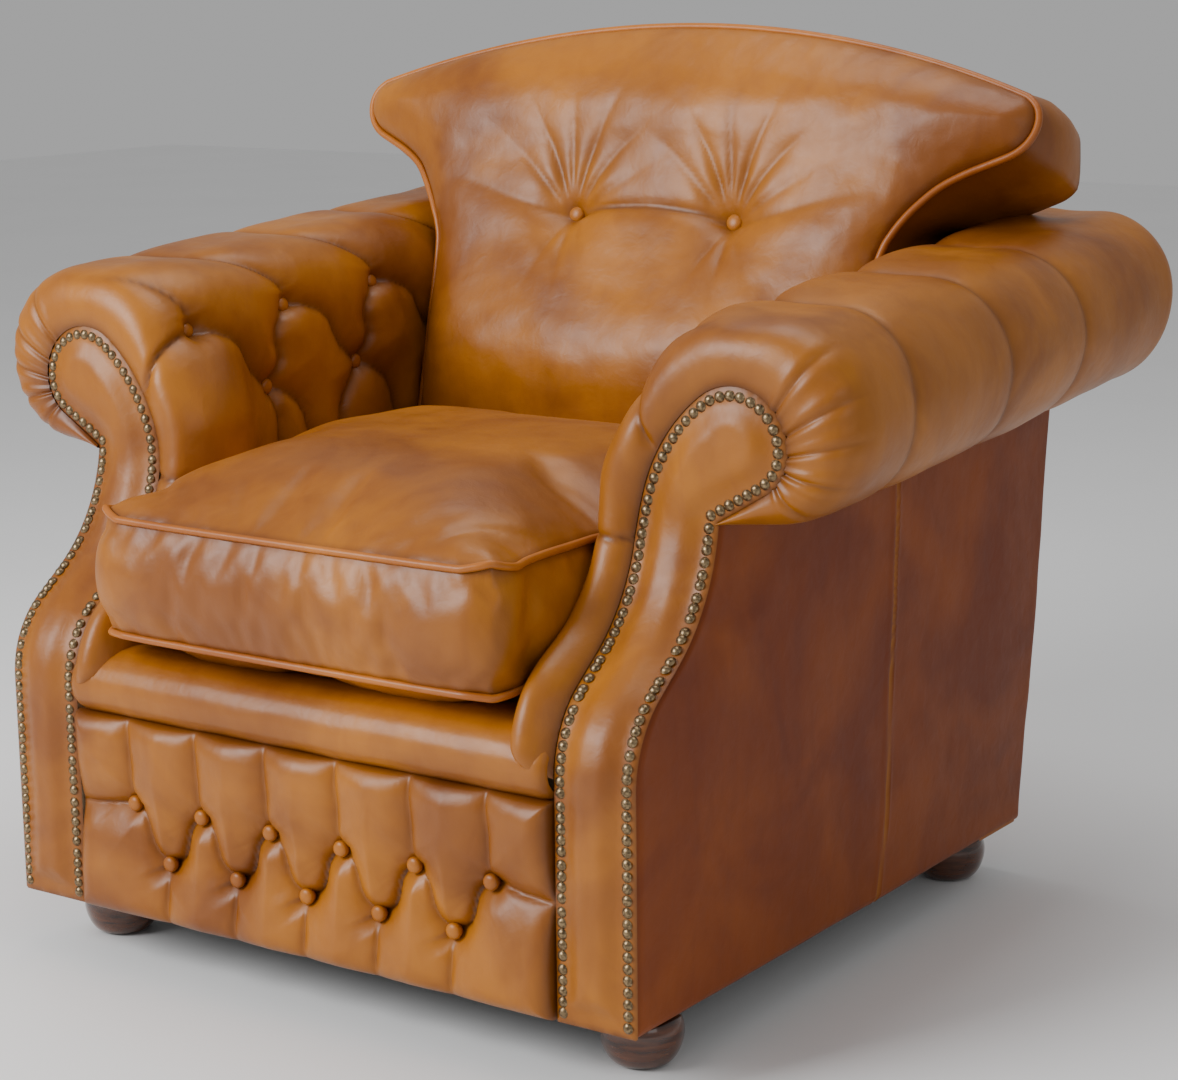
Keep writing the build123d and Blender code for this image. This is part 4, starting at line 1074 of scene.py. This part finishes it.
def cushion_edge(x, d):
    """Distance inwards from the cushion's plain rectangle."""
    return np.minimum(CUSHION_HALF - np.abs(x), np.minimum(d - CUSHION_FRONT, CUSHION_REAR - d))


def cushion_shell(step=0.0105):
    """Closed box of quads with rounded corners: top, border and underside."""
    nx = int(round(2 * CUSHION_HALF / step))
    ny = int(round((CUSHION_REAR - CUSHION_FRONT) / step))
    nz = 12
    index, points, faces = {}, [], []

    def vertex(i, j, k):
        if (i, j, k) not in index:
            index[(i, j, k)] = len(points)
            points.append((-CUSHION_HALF + 2 * CUSHION_HALF * i / nx,
                           CUSHION_FRONT + (CUSHION_REAR - CUSHION_FRONT) * j / ny,
                           CUSHION_LOW + (CUSHION_HIGH - CUSHION_LOW) * k / nz))
        return index[(i, j, k)]

    def quads(corner, a, b):
        for m in range(a):
            for n in range(b):
                faces.append([vertex(*corner(m, n)), vertex(*corner(m + 1, n)),
                              vertex(*corner(m + 1, n + 1)), vertex(*corner(m, n + 1))])

    quads(lambda m, n: (m, n, nz), nx, ny)
    quads(lambda m, n: (n, m, 0), ny, nx)
    quads(lambda m, n: (m, 0, n), nx, nz)
    quads(lambda m, n: (n, ny, m), nz, nx)
    quads(lambda m, n: (0, n, m), nz, ny)
    quads(lambda m, n: (nx, m, n), ny, nz)
    return np.array(points), faces, np.array(list(index)), (nx, ny, nz)


def cushion_swell(x, d, z, key, size):
    """Crowned shape of the stuffed cushion, bulging below and at its walls, and narrower at the
    front; seat_cushion turns its front corners up.
    """
    inside = np.clip(cushion_edge(x, d) / 0.20, 0, 1)
    top = key[:, 2] == size[2]
    low = key[:, 2] == 0
    z = z + np.where(top, 0.047 * (1 - (1 - inside) ** 2.4), 0)
    z = z - np.where(low, 0.017 * (1 - (1 - inside) ** 3.0), 0)
    part = (z - CUSHION_LOW) / (CUSHION_HIGH - CUSHION_LOW)
    wall = np.where(top | low, 0, np.sin(math.pi * np.clip(part, 0, 1)))
    narrow = (0.024 + 0.010 * smooth(d / 0.05)) * (1 - smooth((d - 0.15) / 0.10))
    x = x * (1 - (0.006 + narrow) / CUSHION_HALF + 0.007 / CUSHION_HALF * wall)
    stretch = 1 - 0.004 / CUSHION_REACH + 0.010 / CUSHION_REACH * wall
    d = CUSHION_MID + (d - CUSHION_MID) * stretch
    return x, d, z


CLOTH = {"quality": 6, "mass": 0.35, "tension_stiffness": 22, "compression_stiffness": 14,
         "shear_stiffness": 8, "bending_stiffness": 0.35, "use_pressure": True,
         "vertex_group_mass": "seams", "shrink_min": -0.045}


def run_cloth(obj, pinned, pressure, cap, frames=20):
    """Inflates obj as cloth with its seams held, and applies the result."""
    group = obj.vertex_groups.new(name="seams")
    group.add([int(k) for k in np.nonzero(pinned)[0]], 1.0, "REPLACE")
    before = np.array([v.co for v in obj.data.vertices])
    cloth = obj.modifiers.new("Cloth", "CLOTH")
    for key, value in {**CLOTH, "uniform_pressure_force": pressure}.items():
        setattr(cloth.settings, key, value)
    cloth.settings.effector_weights.gravity = 0
    cloth.collision_settings.use_collision = False
    scene = bpy.context.scene
    for k in range(1, frames + 1):
        scene.frame_set(k)
    posed = obj.evaluated_get(bpy.context.evaluated_depsgraph_get())
    after = np.array([v.co for v in posed.data.vertices])
    obj.modifiers.remove(cloth)
    obj.vertex_groups.remove(group)
    move = after - before
    length = np.linalg.norm(move, axis=1, keepdims=True)
    after = before + move * np.minimum(1, cap / np.maximum(length, 1e-9))
    obj.data.vertices.foreach_set("co", after.astype(np.float32).ravel())
    scene.frame_set(1)
    return after


def cushion_cords(shape, key, size):
    """The two piping cords, which follow the cushion's seams."""
    nx, ny, nz = size
    ring = [(i, 0) for i in range(nx)] + [(nx, j) for j in range(ny)]
    ring += [(i, ny) for i in range(nx, 0, -1)] + [(0, j) for j in range(ny, 0, -1)]
    where = {tuple(k): n for n, k in enumerate(key)}
    cords = []
    for name, k in (("seat_piping_top", nz), ("seat_piping_low", 0)):
        line = np.array([shape[where[(i, j, k)]] for i, j in ring])
        out = line - line.mean(0)
        out[:, 2] = 0
        out /= np.linalg.norm(out, axis=1, keepdims=True)
        closed = np.concatenate([line, line[:1]]) + np.concatenate([out, out[:1]]) * 0.0015
        cords.append(tube(name, resample(closed, 420)[:-1], 0.0040, closed=True))
    return cords


def seat_cushion():
    """Boxed cushion of the seat: swollen panels between two piped seams."""
    points, faces, key, size = cushion_shell()
    nx, ny, nz = size
    x, d = rounded_plan(points[:, 0], points[:, 1])
    x, d, z = cushion_swell(x, d, points[:, 2], key, size)
    on_side = ((key[:, 0] == 0) | (key[:, 0] == nx) | (key[:, 1] == 0) | (key[:, 1] == ny))
    seam = on_side & ((key[:, 2] == 0) | (key[:, 2] == nz))
    z = z + 0.002 * bump(np.hypot(np.abs(x) - CUSHION_HALF, d - CUSHION_FRONT), 0.07)
    shape = np.stack([x, FACE + d, z], 1)
    # painted shade, at 0.6, along the two piped seams
    obj = mesh_object("seat_cushion_cover", shape, faces, 0.6 * seam)
    shape = run_cloth(obj, seam, 2.6, 0.022)

    edge = cushion_edge(x, d)
    lift = noise_at(shape, 7, 40.0) * 0.0035 + noise_at(shape, 18, 44.0) * 0.0012
    lift += noise_at(shape, 45, 47.0, (1, 0.5, 1)) * 0.0010 * (1 - smooth(edge / 0.05)) * ~seam
    shape[:, 2] += np.where(key[:, 2] == nz, lift * smooth(edge / 0.03), 0)
    gather = noise_at(shape, 26, 50.0, (1, 1, 0.5)) * 0.0008 * (on_side & ~seam)
    away = np.stack([x / CUSHION_HALF, (d - CUSHION_MID) / 0.27], 1)
    away = np.sign(away) * (np.abs(away) > 0.97)
    shape[:, 0] += gather * away[:, 0] * 0.6
    shape[:, 1] += gather * away[:, 1]
    obj.data.vertices.foreach_set("co", shape.astype(np.float32).ravel())
    smoother = obj.modifiers.new("Subdivision", "SUBSURF")
    smoother.levels = 1
    smoother.render_levels = 1
    return obj, cushion_cords(shape, key, size)


def platform_cover():
    """The padded deck below the seat cushion."""
    low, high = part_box("platform_pad")
    u, v = plane((-1, 1), (-1, 1), 70, 70)
    mid_x, mid_y = (low.x + high.x) / 2, (low.y + high.y) / 2
    edge = np.minimum(1 - np.abs(u), 1 - np.abs(v)) * (high.x - low.x) / 2
    round_edge = quarter_round(edge, 0.018)
    z = low.z + (high.z - low.z) * round_edge
    x = mid_x + u * (high.x - low.x) / 2
    y = mid_y + v * (high.y - low.y) / 2
    points = np.stack([x, y, z], 2)
    points[:, :, 2] += (noise_at(points, 8, 60.0) - 1) * 0.0014 * round_edge
    under = points.copy()
    under[:, :, 2] = low.z
    faces = grid_faces(*u.shape) + grid_faces(*u.shape, True, u.size)
    both = np.concatenate([points.reshape(-1, 3), under.reshape(-1, 3)])
    return mesh_object("deck_cover", both, faces[::-1])


# ---- feet ----
BUN_PROFILE = ((0.0200, 0.0020), (0.0270, 0.0026), (0.0315, 0.0060), (0.0362, 0.0130),
               (0.0396, 0.0220), (0.0412, 0.0310), (0.0408, 0.0390), (0.0385, 0.0460),
               (0.0350, 0.0505), (0.0325, 0.0520), (0.0325, 0.0535), (0.0345, 0.0550),
               (0.0360, 0.0572), (0.0360, 0.0600), (0.0340, 0.0630))


def bun_foot(node):
    """Turned bun foot with a small collar below the rail."""
    low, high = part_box(node)
    centre = Vector(((low.x + high.x) / 2, (low.y + high.y) / 2, 0))
    return turned(node.replace("foot_", "bun_"), curve_through(BUN_PROFILE, 46),
                  [(centre, Vector((0, 0, 1)))], 64)


# ---- everything together ----
dress_cad()


def place_pair(right, left, slot_name, *parts, fill=None):
    """Places a right piece and its left twin; parts are names of CAD nodes without their side."""
    for obj, side in ((right, "_right"), (left, "_left")):
        place(obj, slot_name, *[part + side for part in parts], fill=fill)


cover = arm_cover()
place_pair(cover, mirrored(cover, "arm_cover_left"), "leather", "arm_front_border", "arm_roll",
           "inner_arm", fill=0.75)
right_buttons = arm_button_places()
left_buttons = [(Vector((-p.x, p.y, p.z)), Vector((-n.x, n.y, n.z))) for p, n in right_buttons]
place_pair(buttons("arm_button_covers_right", right_buttons, ARM_BUTTON_R),
           buttons("arm_button_covers_left", left_buttons, ARM_BUTTON_R),
           "button_leather", "arm_buttons")
front = facing()
place_pair(front, mirrored(front, "facing_cover_left"), "leather", "facing", fill=0.6)
panel = outside_arm()
place_pair(panel, mirrored(panel, "outside_arm_cover_left"), "outer_leather", "outside_arm",
           fill=0.4)

place(front_cover(), "leather", "front_panel", fill=0.8)
place(lip_cover(), "leather", "front_lip", fill=0.8)
front_places = [(Vector((x, FACE + 0.0020, z)), Vector((0, -1, 0)))
                for x, z in UPPER_ROW + LOWER_ROW]
place(buttons("front_button_covers", front_places, 0.0085, 0.0055), "button_leather",
      "front_buttons")

back, band, rear_panel, back_cord = back_pieces()
place(back, "leather", "back_pad", fill=0.85)
place(band, "leather", "back_border", fill=0.7)
place(rear_panel, "outer_leather", fill=0.5)
place(back_cord, "piping_leather", "back_piping")
tilt = math.radians(16)
out = Vector((0, -math.cos(tilt), math.sin(tilt)))
back_places = [(Vector((bx, FACE + float(back_depth(bz)) + 0.010, bz)) + out * 0.004, out)
               for bx, bz in BACK_BUTTONS]
place(buttons("back_button_covers", back_places, 0.0100), "button_leather", "back_buttons")
place(crest_cover(), "outer_leather", "outside_back", "crest_padding", fill=0.5)

cushion, cords = seat_cushion()
place(cushion, "leather", "seat_cover", "seat_foam", body="seat_cushion", fill=0.85)
place(cords[0], "piping_leather", "seat_piping", body="seat_cushion")
place(cords[1], "piping_leather", body="seat_cushion")
place(platform_cover(), "lining", "platform_pad", fill=0.6)

for node in ("foot_front_left", "foot_front_right", "foot_rear_left", "foot_rear_right"):
    place(bun_foot(node), "foot_wood", node)

# ---- floor, light and camera ----
floor_mesh = bpy.data.meshes.new("floor")
floor_mesh.from_pydata([(-9, -9, 0), (9, -9, 0), (9, 9, 0), (-9, 9, 0)], [], [(0, 1, 2, 3)])
floor = bpy.data.objects.new("floor", floor_mesh)
bpy.context.scene.collection.objects.link(floor)
floor_material = grained("pale_floor", (0.90, 0.90, 0.90), (0.92, 0.92, 0.92), 2, (1, 1, 1),
                         0.75, 0.0001)
floor_mesh.materials.append(floor_material)

AIM = Vector((0, 0, 0.5))
world = bpy.data.worlds.new("studio")
world.use_nodes = True
world.node_tree.nodes["Background"].inputs["Color"].default_value = (1.0, 1.0, 1.0, 1)
world.node_tree.nodes["Background"].inputs["Strength"].default_value = 0.42
bpy.context.scene.world = world


def softbox(name, place_at, size, watts):
    """Square studio light, aimed at the middle of the chair."""
    light = bpy.data.lights.new(name, "AREA")
    light.size = size
    light.energy = watts
    lamp = bpy.data.objects.new(name, light)
    lamp.location = place_at
    lamp.rotation_euler = (AIM - Vector(place_at)).to_track_quat("-Z", "Y").to_euler()
    bpy.context.scene.collection.objects.link(lamp)


softbox("key", (-1.5, -2.9, 2.1), 1.7, 130)
softbox("fill", (2.9, -1.6, 1.7), 1.4, 8)
softbox("top", (0.0, 0.2, 3.0), 1.6, 30)

AZIMUTH = math.radians(34.789)
ELEVATION = math.radians(12.049)
ROLL = math.radians(-0.652)
CAMERA_AT = (1.74274, -2.44948, 1.05143)
behind = Vector((math.sin(AZIMUTH) * math.cos(ELEVATION),
                 -math.cos(AZIMUTH) * math.cos(ELEVATION), math.sin(ELEVATION)))
right = Vector((math.cos(AZIMUTH), math.sin(AZIMUTH), 0))
above = behind.cross(right)
right_turned = math.cos(ROLL) * right + math.sin(ROLL) * above
above_turned = -math.sin(ROLL) * right + math.cos(ROLL) * above
lens = bpy.data.cameras.new("camera")
lens.lens = 85.15
lens.sensor_width = 36
camera = bpy.data.objects.new("camera", lens)
bpy.context.scene.collection.objects.link(camera)
camera.matrix_world = Matrix((
    *zip(right_turned, above_turned, behind, CAMERA_AT),
    (0, 0, 0, 1)))
bpy.context.scene.camera = camera
